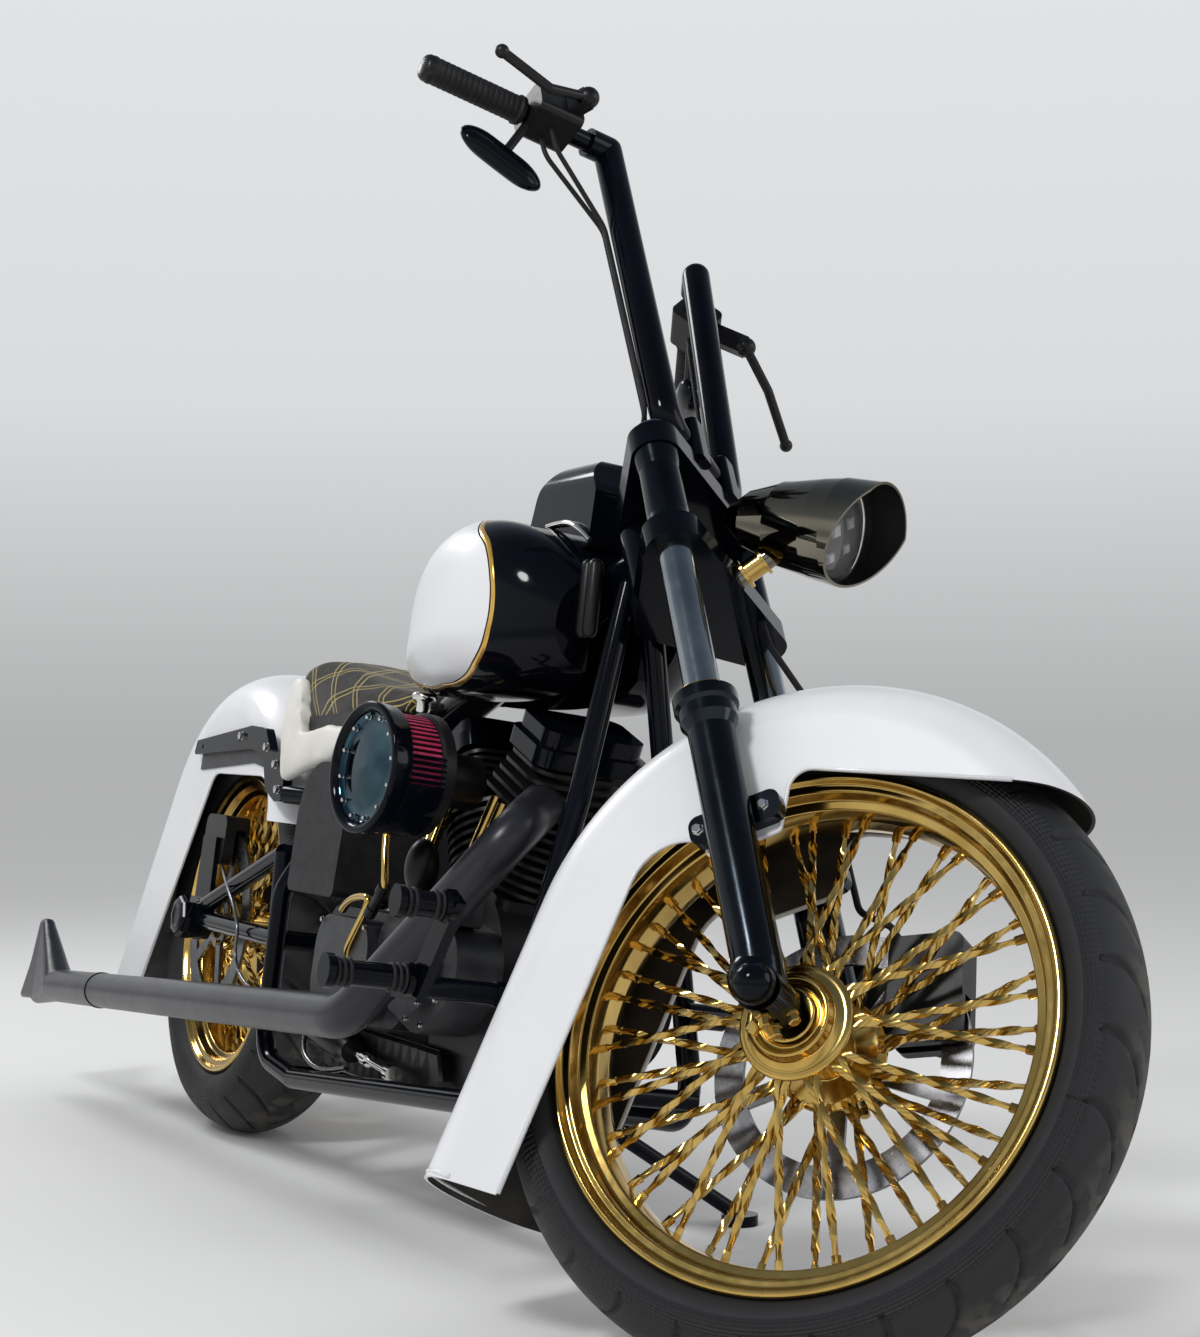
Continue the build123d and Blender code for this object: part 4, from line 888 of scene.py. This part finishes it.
section = ((-0.026, 0.0768), (-0.075, 0.0768), (-0.075, 0.0738), (-0.026, 0.0738))
turns = [DRUM_FROM + DRUM_TURN * step / DRUM_STEPS for step in range(DRUM_STEPS + 1)]
points = [air(out, radius, turn) for turn in turns for out, radius in section]
faces = skin(DRUM_STEPS + 1, 4) + ends(0, 4, DRUM_STEPS + 1)
mesh_piece("air_cleaner_drum", points, faces, GLOSS_BLACK, "machine", "air_cleaner", crisp=40)
bar = [(0, 0.0024), (1, 0.0024)]
cage = [(air(-0.024, 0.0752, turn), air(-0.074, 0.0752, turn), bar) for turn in (-7, -1.5, 4, 9.5, 15)]
bars("air_cleaner_cage", cage, GLOSS_BLACK, "machine", "air_cleaner")

folds = [(pleat * 360 / PLEAT_COUNT + turn, radius) for pleat in range(PLEAT_COUNT) for turn, radius in PLEAT]
points = [air(out, radius, turn) for turn, radius in folds for out in (-0.027, -0.071)]
faces = skin(len(folds), 2, rows_close=True, size_closes=False)
element = mesh_piece("air_filter_pleats", points, faces, PLEATS, "machine", "air_filter", smooth=False)
# Every face of a pleat but its outer top takes the darker red of painted shade.
element.data.materials.append(PLEAT_PAINTED_SHADE)
for polygon in element.data.polygons:
    polygon.material_index = 0 if polygon.index % len(PLEAT) == 0 else 1
screws = [(air(-0.0095, 0.0625, k * 30 + 12), AIR_OUT) for k in range(12)]
bolts("air_cleaner_screws", "machine", 0.0028, 0.0062, screws)

# Headlamp


def lamp_round(name, outline, material, *replaced, **how):
    """A part turned about the headlamp's axis."""
    revolve(name, outline, LAMP, AHEAD, 64, material, "fork", *replaced, **how)


bowl = [(-0.0195, 0.0005), (-0.0195, 0.040), (-0.010, 0.052), (-0.003, 0.0555)]
lamp_round("headlamp_bowl", bowl, SATIN_BLACK, slot="dark_chrome")
optic = []
for left, above, size in (
    (-0.020, 0.022, 0.0085), (0.020, 0.022, 0.0085), (-0.031, -0.004, 0.0075), (0.031, -0.004, 0.0075),
    (-0.012, -0.028, 0.0075), (0.012, -0.028, 0.0075), (0.0, 0.0, 0.0095),
):
    start = LAMP + at(-0.017, left, above)
    optic.append((start, start + AHEAD * 0.007, [(0, size * 1.1), (0.7, size), (1, size * 0.8)]))
bars("headlamp_leds", optic, LED, "fork", slot="lens", sides=4, smooth=False)
dome = [(-0.012, 0.0575), (0.0, 0.0560), (0.005, 0.045), (0.0085, 0.025), (0.0095, 0.0005)]
lamp_round("headlamp_glass", dome, LENS_GLASS, "headlamp_lens")
ring = [(0.000, 0.0565), (0.0035, 0.0600), (0.0005, 0.0605), (-0.004, 0.0585)]
lamp_round("headlamp_ring", ring, PLATED, slot="chrome", closed=True)
foot, top = fork(0.010, 0, 0.590), LAMP + at(-0.070, 0, -0.040)
sleeve = [(0, 0.0190), (0.12, 0.0190), (0.14, 0.0136), (0.86, 0.0136), (0.88, 0.0175), (1, 0.0175)]
mount = [(foot.lerp(top, 0.36), foot.lerp(top, 0.80), sleeve)]
bars("headlamp_mount", mount, GOLD, "fork", slot="gold_plate", sides=24)

# Grips, bar ends and mirrors

# On the left side: ahead, out and up the fork
BAR_CORNER, GRIP_END, GRIP_RIDGES = (0.017, 0.136, 1.212), (-0.110, 0.372, 1.222), 15
MIRROR_INNER, MIRROR_OUTER = (-0.057, 0.238, 1.112), (-0.094, 0.308, 1.150)
MIRROR_STEPS, MIRROR_RINGS = 48, 13


def bar_at(side, share):
    """A place along the bar's end, from its corner at 0 to the grip's end at 1."""
    corner, end = (fork(ahead, side * out, up) for ahead, out, up in (BAR_CORNER, GRIP_END))
    return corner.lerp(end, share)


for side, word in SIDES:
    start, end = bar_at(side, 0.5), bar_at(side, 1)
    way, long = (end - start).normalized(), (end - start).length
    profile = [(0.0, 0.0129), (0.0, 0.0185), (0.006, 0.0195), (0.008, 0.0175)]
    for ridge in range(GRIP_RIDGES):
        foot = 0.010 + ridge * (long - 0.018) / GRIP_RIDGES
        profile += [(foot, 0.0163), (foot + 0.0010, 0.0173), (foot + 0.0050, 0.0173), (foot + 0.0060, 0.0163)]
    profile += [(long - 0.006, 0.0175), (long - 0.004, 0.0180), (long, 0.0175), (long, 0.0129)]
    revolve(f"grip_{word}", profile, start, way, 40, RUBBER, "fork", "grips", crisp=40)
    cap = [(-0.001, 0.0170), (0.004, 0.0172), (0.008, 0.0150), (0.010, 0.0100), (0.0105, 0.0003)]
    revolve(f"bar_end_{word}", cap, end, way, 32, SATIN_BLACK, "fork", slot="black_paint")

for side, word in SIDES:
    inner, outer = (fork(ahead, side * out, up) for ahead, out, up in (MIRROR_INNER, MIRROR_OUTER))
    middle, long_way = inner.lerp(outer, 0.5), (outer - inner).normalized()
    out = (FORK_AHEAD - long_way * FORK_AHEAD.dot(long_way)).normalized()
    tall = long_way.cross(out).normalized()
    points = []
    for row in range(MIRROR_RINGS):
        lean = math.pi * row / (MIRROR_RINGS - 1)
        swell, deep = max(0.02, math.sin(lean)) ** 0.6, 0.0135 * math.cos(lean)
        for k in range(MIRROR_STEPS):
            turn = 2 * math.pi * k / MIRROR_STEPS
            c, high = math.cos(turn), 0.0245 * math.sin(turn)
            along = math.copysign(0.035, c) * min(1.0, abs(c) * 3) + c * 0.026
            points.append(middle + long_way * (along * swell) + tall * (high * swell) + out * deep)
    mesh_piece(f"mirror_{word}", points, skin(MIRROR_RINGS, MIRROR_STEPS), GLOSS_BLACK, "fork", "mirrors")
    stations = [(0, 0.0058), (0.9, 0.0058), (0.91, 0.0085), (1, 0.0085)]
    stem = [(middle, middle.lerp(bar_at(side, 0.43), 0.93), stations)]
    bars(f"mirror_stem_{word}", stem, SATIN_BLACK, "fork", "mirrors", sides=16)

# Fastenings

STRUT_BOLTS = ((0.101, 0.629), (0.236, 0.612), (0.290, 0.586), (0.316, 0.548))
PRIMARY_SCREWS = (
    (0.790, 0.437), (0.905, 0.430), (0.790, 0.224), (0.905, 0.234), (1.078, 0.335), (0.608, 0.330),
)
LEG_RINGS = ((0.7165, 0.0272), (0.370, 0.0305))
AXLE_COVER = [
    (-0.006, 0.0003), (-0.006, 0.032), (0.0, 0.0345), (0.036, 0.0345), (0.043, 0.030), (0.045, 0.020),
    (0.0425, 0.014), (0.0425, 0.0003),
]
for side, word in SIDES:
    places = [(at(x, side * 0.120, z), LEFT * side) for x, z in STRUT_BOLTS]
    bolts(f"strut_bolts_{word}", "machine", 0.0062, 0.007, places)
front_disc = bolt_circle(FRONT_AXLE, 0.037, 0.078, LEFT, 5)
bolts("front_disc_bolts", "front_wheel", 0.0048, 0.005, front_disc, GOLD, "gold_plate")
rear_disc = bolt_circle(REAR_AXLE, 0.037, -0.083, RIGHT, 5)
bolts("rear_disc_bolts", "rear_wheel", 0.0048, 0.005, rear_disc, GOLD, "gold_plate")
for side, word in SIDES:
    nuts = [(fork(-0.004, side * LEG_OUT + shift, -0.0262), -FORK_UP) for shift in (-0.014, 0.014)]
    bolts(f"axle_nuts_{word}", "fork", 0.0062, 0.012, nuts, GOLD, "gold_plate")
    plate = [(fork(ahead, side * 0.102, 0.224), LEFT * side) for ahead in (-0.046, 0.030)]
    bolts(f"fender_plate_bolts_{word}", "fork", 0.0058, 0.006, plate)
across = (-0.052, -0.036, 0.036, 0.052)
risers = [(fork(ahead, left, 0.805), FORK_UP) for ahead in (-0.011, 0.025) for left in across]
bolts("riser_bolts", "fork", 0.0045, 0.005, risers)
case = bolt_circle(at(1.005, 0, 0.333), 0.066, -0.132, RIGHT, 8, 20)
case += bolt_circle(at(1.005, 0, 0.339), 0.046, -0.140, RIGHT, 5, 10)
case += [(at(x, -0.147, z), RIGHT) for x in (0.668, 0.832) for z in (0.262, 0.374)]
bolts("case_screws", "machine", 0.0036, 0.004, case)
primary = bolt_circle(at(0.710, 0, 0.330), 0.052, 0.190, LEFT, 10)
primary += [(at(x, 0.182, z), LEFT) for x, z in PRIMARY_SCREWS]
bolts("primary_screws", "machine", 0.0036, 0.004, primary)
caliper = [(fork(0.077, 0.112, 0.072), LEFT), (fork(0.098, 0.112, -0.004), LEFT)]
bolts("caliper_bolts", "fork", 0.0065, 0.008, caliper)
for side, word in SIDES:
    ahead, below = at(1.682, side * 0.104, 0.343), at(1.654, side * 0.112, 0.322)
    feet = [(ahead, at(0.75, 0, -0.66)), (below, at(-0.2, 0, -1))]
    bolts(f"foot_nuts_{word}", "fork", 0.0068, 0.011, feet, GOLD, "gold_plate")
    for up, radius in LEG_RINGS:
        name, leg = f"leg_ring_{word}_{round(up * 1000)}", fork(-0.004, side * LEG_OUT, up)
        band = [(-0.0012, radius - 0.004), (-0.0012, radius), (0.0012, radius), (0.0012, radius - 0.004)]
        revolve(name, rounded(band, 0.0006), leg, FORK_UP, 48, GOLD, "fork", slot="gold_plate", closed=True)
    name, place = f"rear_axle_cover_{word}", REAR_AXLE + LEFT * (side * 0.112)
    cover = rounded(AXLE_COVER, 0.002, False)
    revolve(name, cover, place, LEFT * side, 8, GLOSS_BLACK, "machine", slot="black_paint", crisp=20)

# Pipes, pegs and covers

PIPES = (
    ("oil_line", 0.0050, GOLD, "gold_plate", (
        (0.846, -0.140, 0.540), (0.863, -0.150, 0.496), (0.886, -0.150, 0.440), (0.885, -0.150, 0.426),
    )),
    ("oil_feed", 0.0058, GOLD, "gold_plate", (
        (0.735, -0.146, 0.392), (0.762, -0.150, 0.407), (0.826, -0.150, 0.416), (0.842, -0.150, 0.408),
        (0.806, -0.150, 0.369), (0.778, -0.150, 0.336), (0.772, -0.138, 0.326),
    )),
    ("rear_brake_line", 0.0028, STEEL, "disc_steel", (
        (0.030, -0.100, 0.420), (0.190, -0.142, 0.400), (0.300, -0.146, 0.345), (0.285, -0.142, 0.290),
        (0.350, -0.142, 0.256), (0.440, -0.140, 0.250), (0.452, -0.136, 0.262),
    )),
    ("rear_brake_pipe", 0.0040, STEEL, "disc_steel", (
        (0.570, -0.112, 0.228), (0.592, -0.126, 0.196), (0.640, -0.128, 0.176), (0.705, -0.126, 0.172),
        (0.762, -0.120, 0.186),
    )),
    ("console_trim", 0.0035, PLATED, "chrome", (
        (1.000, -0.041, 0.914), (1.035, -0.044, 0.915), (1.075, -0.045, 0.913), (1.110, -0.044, 0.901),
        (1.135, -0.042, 0.886),
    )),
)
for name, radius, material, slot, points in PIPES:
    tube(name, points, radius, material, slot)


def rod(name, start, end, stations, material, slot, sides):
    """One stepped round bar on the machine."""
    bars(name, [(start, end, stations)], material, "machine", slot=slot, sides=sides)


joint = [(0, 0.0085), (0.25, 0.0085), (0.26, 0.0065), (0.75, 0.0065), (0.76, 0.0085), (1, 0.0085)]
start, end = at(0.886, -0.150, 0.432), at(0.846, -0.150, 0.392)
rod("oil_line_joint", start, end, joint, SATIN_BLACK, "black_paint", 12)
pump_end = at(0.735, -0.104, 0.206)
pump = [(0, 0.009), (0.14, 0.009), (0.15, 0.017), (0.24, 0.017), (0.25, 0.0205), (0.86, 0.0205)]
pump += [(0.90, 0.016), (1, 0.016)]
rod("rear_brake_cylinder", at(0.555, -0.104, 0.222), pump_end, pump, SATIN_BLACK, "black_paint", 20)
push = [(0, 0.005), (0.30, 0.005), (0.31, 0.009), (0.42, 0.009), (0.43, 0.005), (0.90, 0.005)]
push += [(0.91, 0.011), (1, 0.011)]
rod("rear_brake_rod", pump_end, at(0.905, -0.110, 0.196), push, PLATED, "chrome", 10)

# x, z, first rib's distance from the middle, and count
PEG_RIBS = (
    (1.318, 0.340, 0.281, 3), (1.318, 0.340, 0.346, 3), (1.392, 0.425, 0.280, 2), (1.392, 0.425, 0.312, 2)
)
for side, word in SIDES:
    rings = []
    for x, z, first, count in PEG_RIBS:
        rings += [circle(at(x, side * (first + 0.0072 * k), z), AHEAD, UP, 0.0145, 20) for k in range(count)]
    ring_tube(f"peg_ribs_{word}", rings, 0.0026, RUBBER, "machine", "grip_rubber", closed=True)

pillar = [(0, 0.005), (0.03, 0.008), (0.08, 0.0095), (0.92, 0.0095), (0.97, 0.008), (1, 0.005)]
pillars = [(at(x + 0.007, -0.050, 0.762), at(x, -0.050, 0.858), pillar) for x in (1.160, 1.180)]
bars("neck_cover", pillars, SATIN_BLACK, "machine", slot="black_paint", sides=16)
tap = [(-0.004, 0.0003), (-0.004, 0.016), (0.0, 0.018), (0.006, 0.016), (0.008, 0.010), (0.020, 0.0095)]
tap += [(0.024, 0.006), (0.025, 0.0003)]
revolve("fuel_tap", tap, at(0.762, -0.082, 0.690), -UP, 32, PLATED, "machine", slot="chrome")
turns = [math.radians(a) for a in range(-90, 91, 12)]
egg = [(0.036 * math.sin(a), 0.0215 * math.cos(a) + 0.0002) for a in turns]
revolve("oil_dome", egg, at(1.004, -0.150, 0.462), UP, 40, SATIN_BLACK, "machine", slot="engine_black")

PAN_FINS, PAN_PITCH = 13, 0.030
fins = []
for k in range(PAN_FINS):
    x = 0.610 + PAN_PITCH * k
    fin = [(0, 0.034), (0.02, 0.038), (0.98, 0.038), (1, 0.034)]
    fins.append((at(x, -0.088, 0.203), at(x, 0.088, 0.203), fin))
    if k < PAN_FINS - 1:
        x += PAN_PITCH / 2
        fins.append((at(x, -0.080, 0.207), at(x, 0.080, 0.207), [(0, 0.036), (1, 0.036)]))
bars("oil_pan_fins", fins, SATIN_BLACK, "machine", slot="engine_black", smooth=False)

# A grey plate under each fender strut, which stands in for the strut's shaded lower edge: painted shade.
UNDER_STRUT = (
    (-0.140, 0.602), (0.150, 0.612), (0.222, 0.600), (0.252, 0.556), (0.238, 0.548), (0.196, 0.582),
    (0.14, 0.588), (-0.14, 0.573),
)
for side, word in SIDES:
    points = [at(x, side * out, z) for out in (0.1066, 0.1090) for x, z in UNDER_STRUT]
    faces = skin(2, len(UNDER_STRUT)) + ends(0, len(UNDER_STRUT), 2)
    mesh_piece(
        f"strut_shade_plate_{word}", points, faces, CAST_GREY, "machine", slot="cast_grey", smooth=False
    )

# Seat

# x, height of the cushion's top, half width
SEAT_ROWS = (
    (0.270, 0.724, 0.098), (0.300, 0.752, 0.106), (0.350, 0.757, 0.109), (0.430, 0.740, 0.109),
    (0.520, 0.716, 0.105), (0.600, 0.704, 0.088), (0.648, 0.702, 0.060),
)
# Shares of the half width and of the height, from the cushion's lower edge to its top
PAD_SIDE = ((1.0, 0.0), (1.0, 0.45), (0.985, 0.70), (0.93, 0.88), (0.78, 0.975), (0.45, 1.0))
PAD_BACK, PAD_NOSE, PAD_LOOPS = 0.272, 0.646, 15
# x, z and corner radius of a skirt's outline; how far out each of its rings lies, and how far in
SKIRT = (
    (0.290, 0.640, 0.020), (0.312, 0.722, 0.0185), (0.356, 0.722, 0.0175), (0.386, 0.636, 0.016),
    (0.490, 0.650, 0.040), (0.612, 0.646, 0.016), (0.664, 0.628, 0.004), (0.520, 0.592, 0.060),
    (0.420, 0.578, 0.060), (0.318, 0.556, 0.012),
)
SKIRT_RINGS = ((0.102, -0.010), (0.106, -0.003), (0.115, -0.001), (0.122, -0.004), (0.126, -0.009))
# x, height of the pan's floor, half width
PAN_ROWS = (
    (0.272, 0.625, 0.108), (0.350, 0.630, 0.108), (0.480, 0.634, 0.108), (0.560, 0.638, 0.108),
    (0.640, 0.644, 0.07),
)
PAN_DEEP, CLOTH_STEPS = 0.03, 20


def apply_modifier(made, kind, **values):
    """Add a modifier with these values and make its result the mesh."""
    modifier = made.modifiers.new(kind, kind)
    for key, value in values.items():
        setattr(modifier, key, value)
    bpy.context.view_layer.objects.active = made
    for other in bpy.context.selected_objects:
        other.select_set(False)
    made.select_set(True)
    bpy.ops.object.modifier_apply(modifier=modifier.name)


def blow_up(made, pressure, cap, seam):
    """Fill the mesh as cloth, held where seam says so, and move no point further than the cap."""
    rest = [v.co.copy() for v in made.data.vertices]
    cloth = made.modifiers.new("cloth", "CLOTH")
    cloth.settings.quality = 4
    cloth.settings.mass = 0.3
    cloth.settings.tension_stiffness = 25
    cloth.settings.compression_stiffness = 25
    cloth.settings.bending_stiffness = 2.0
    cloth.settings.use_pressure = True
    cloth.settings.uniform_pressure_force = pressure
    cloth.settings.effector_weights.gravity = 0
    held, back = made.vertex_groups.new(name="held"), PLACED.inverted()
    held.add([v.index for v in made.data.vertices if seam(back @ v.co)], 1.0, "REPLACE")
    cloth.settings.vertex_group_mass = "held"
    for step in range(1, CLOTH_STEPS + 1):
        bpy.context.scene.frame_set(step)
    bpy.context.view_layer.objects.active = made
    made.select_set(True)
    bpy.ops.object.modifier_apply(modifier="cloth")
    bpy.context.scene.frame_set(1)
    for vertex, start in zip(made.data.vertices, rest):
        moved = vertex.co - start
        if moved.length > cap:
            vertex.co = start + moved.normalized() * cap


def cushion(name, loops, material, pressure, cap, seam, smoothing, slot=None):
    """Padded cloth of the seat: rings of points closed into a skin, remeshed, blown up and smoothed."""
    points, count = [p for loop in loops for p in loop], len(loops[0])
    faces = skin(len(loops), count)
    for base in (0, (len(loops) - 1) * count):
        points.append(sum(points[base:base + count], Vector()) / count)
        faces += fan(base, count, len(points) - 1)
    made = mesh_object(name, points, faces, material, "machine")
    apply_modifier(made, "REMESH", mode="VOXEL", voxel_size=0.0052)
    blow_up(made, pressure, cap, seam)
    for polygon in made.data.polygons:
        polygon.use_smooth = True
    apply_modifier(made, "SMOOTH", factor=0.5, iterations=smoothing)
    apply_modifier(made, "SUBSURF", levels=1)
    dress(made, "machine", ("seat",), slot)
    return made


def pad_loops():
    """Rings across the cushion, from its back to its nose."""
    loops = []
    for k in range(PAD_LOOPS):
        x = PAD_BACK + (PAD_NOSE - PAD_BACK) * k / (PAD_LOOPS - 1)
        top, half = table_at(SEAT_ROWS, x, 1) - 0.005, table_at(SEAT_ROWS, x, 2) - 0.004
        low = 0.655 + max(0.0, x - 0.50) * 0.12
        right = [at(x, -half * across, low + (top - low) * up) for across, up in PAD_SIDE]
        left = [at(x, half * across, low + (top - low) * up) for across, up in reversed(PAD_SIDE)]
        loops.append(right + [at(x, 0, top + 0.001)] + left)
    return loops


def seat_uv(made):
    """Cloth pattern in metres along and across the seat, carried down over its sides and nose."""
    layer = made.data.uv_layers.new(name="UVMap")
    back, flat = PLACED.inverted(), []
    for vertex in made.data.vertices:
        p = back @ vertex.co
        drop = max(0.0, table_at(SEAT_ROWS, p.x, 1) - 0.012 - p.z)
        side = math.copysign(unit((abs(p.y) - 0.05) / 0.04), p.y)
        front = unit((p.x - 0.625) / 0.02)
        along = p.x + min(0.0, p.x - 0.3) * 0.6 + front * drop
        flat.append((along, p.y + side * drop * (1 - front)))
    for loop in made.data.loops:
        layer.data[loop.index].uv = flat[loop.vertex_index]


seat_uv(cushion("seat_pad", pad_loops(), TARTAN, 3.5, 0.006, lambda p: p.z < 0.675, 7))
SKIRT_LINE = arcs(SKIRT, 6)
for side, word in SIDES:
    loops = [[at(p.x, side * out, p.y) for p in moved_in(SKIRT_LINE, grow)] for out, grow in SKIRT_RINGS]
    cushion(
        f"seat_skirt_{word}", loops, LEATHER, 2.4, 0.005, lambda p: abs(p.y) < 0.108, 14, "white_paint"
    )
points = []
for x, low, half in PAN_ROWS:
    high = low + PAN_DEEP
    points += [at(x, y, z) for y, z in ((-half, low), (half, low), (half, high), (-half, high))]
faces = skin(len(PAN_ROWS), 4) + ends(0, 4, len(PAN_ROWS))
mesh_piece("seat_pan", points, faces, SATIN_BLACK, "machine", "seat", slot="black_paint", smooth=False)

# Floor, studio, lamps and camera

FLOOR_SIZE = 40
# Height and colour of the studio's walls and sky
SKY = [
    (0.0, (0.437, 0.442, 0.446)), (0.03, (0.48, 0.485, 0.49)), (0.14, (0.70, 0.71, 0.72)),
    (0.32, (0.76, 0.775, 0.79)), (0.46, (0.34, 0.37, 0.42)), (1.0, (0.10, 0.13, 0.18)),
]
# name, place, target, power, size
LAMPS = (
    ("key", (2.15, -3.5, 4.2), (0.2, 0, 0.5), 120, 1.0),
    ("fill", (3.0, 3.2, 2.2), (0.2, 0, 0.6), 34, 2.6),
    ("rim_light", (-3.6, -1.2, 3.4), (0, 0, 0.6), 50, 1.4),
)
# The photograph's width and height, its focal length and the pixel its camera looks at
PHOTO_WIDE, PHOTO_HIGH, FOCAL, LOOKS_X, LOOKS_Y, SENSOR = 1200, 1337, 2400.79, 602.53, 638.05, 36
CAMERA_PLACE, CAMERA_TURN = (3.13989, -1.28609, 0.62849), (92.46894, 0.2901, 63.94612)


def add_floor():
    data = bpy.data.meshes.new("floor")
    corners = [(x * FLOOR_SIZE, y * FLOOR_SIZE, 0) for x, y in ((-1, -1), (1, -1), (1, 1), (-1, 1))]
    data.from_pydata(corners, [], [(0, 1, 2, 3)])
    floor = bpy.data.objects.new("floor", data)
    bpy.context.scene.collection.objects.link(floor)
    pale, _, _, shader = blank("pale_floor")
    put(shader, Base_Color=(0.80, 0.805, 0.81, 1), Roughness=0.8, Specular_IOR_Level=0.1)
    data.materials.append(pale)


def add_studio():
    """Walls and sky that the camera, gloss and glass see, while even white light falls on the bike."""
    world = bpy.data.worlds.new("studio")
    bpy.context.scene.world = world
    world.use_nodes = True
    nodes, links = world.node_tree.nodes, world.node_tree.links
    nodes.clear()
    height = nodes.new("ShaderNodeSeparateXYZ")
    links.new(nodes.new("ShaderNodeTexCoord").outputs["Generated"], height.inputs["Vector"])
    seen = node(nodes, "ShaderNodeBackground", Strength=1.0)
    links.new(ramp(nodes, links, height.outputs["Z"], SKY), seen.inputs["Color"])
    light = node(nodes, "ShaderNodeBackground", Color=(1.0, 1.0, 1.0, 1), Strength=0.55)
    maths, paths = calculator(nodes, links), nodes.new("ShaderNodeLightPath").outputs
    looks = maths("MAXIMUM", paths["Is Camera Ray"], paths["Is Glossy Ray"])
    looks = maths("MAXIMUM", looks, paths["Is Transmission Ray"])
    mix = nodes.new("ShaderNodeMixShader")
    for socket, source in zip(mix.inputs, (looks, light.outputs[0], seen.outputs[0])):
        links.new(source, socket)
    links.new(mix.outputs[0], nodes.new("ShaderNodeOutputWorld").inputs["Surface"])


def add_lamp(name, place, target, power, size):
    data = bpy.data.lights.new(name, "AREA")
    data.energy, data.size, data.shape = power, size, "DISK"
    made = bpy.data.objects.new(name, data)
    bpy.context.scene.collection.objects.link(made)
    made.location = place
    made.rotation_euler = (Vector(target) - Vector(place)).to_track_quat("-Z", "Y").to_euler()


def add_camera():
    """The photograph's own camera."""
    data = bpy.data.cameras.new("photo_camera")
    camera = bpy.data.objects.new("photo_camera", data)
    bpy.context.scene.collection.objects.link(camera)
    camera.location = CAMERA_PLACE
    camera.rotation_euler = tuple(math.radians(a) for a in CAMERA_TURN)
    data.sensor_fit = "VERTICAL"
    data.sensor_height = SENSOR
    data.lens = SENSOR * FOCAL / PHOTO_HIGH
    data.shift_x = (PHOTO_WIDE / 2 - LOOKS_X) / PHOTO_HIGH
    data.shift_y = (LOOKS_Y - PHOTO_HIGH / 2) / PHOTO_HIGH
    data.clip_start, data.clip_end = 0.05, 200
    bpy.context.scene.camera = camera
    bpy.context.scene.view_settings.view_transform = "Standard"


add_floor()
add_studio()
for row in LAMPS:
    add_lamp(*row)
add_camera()
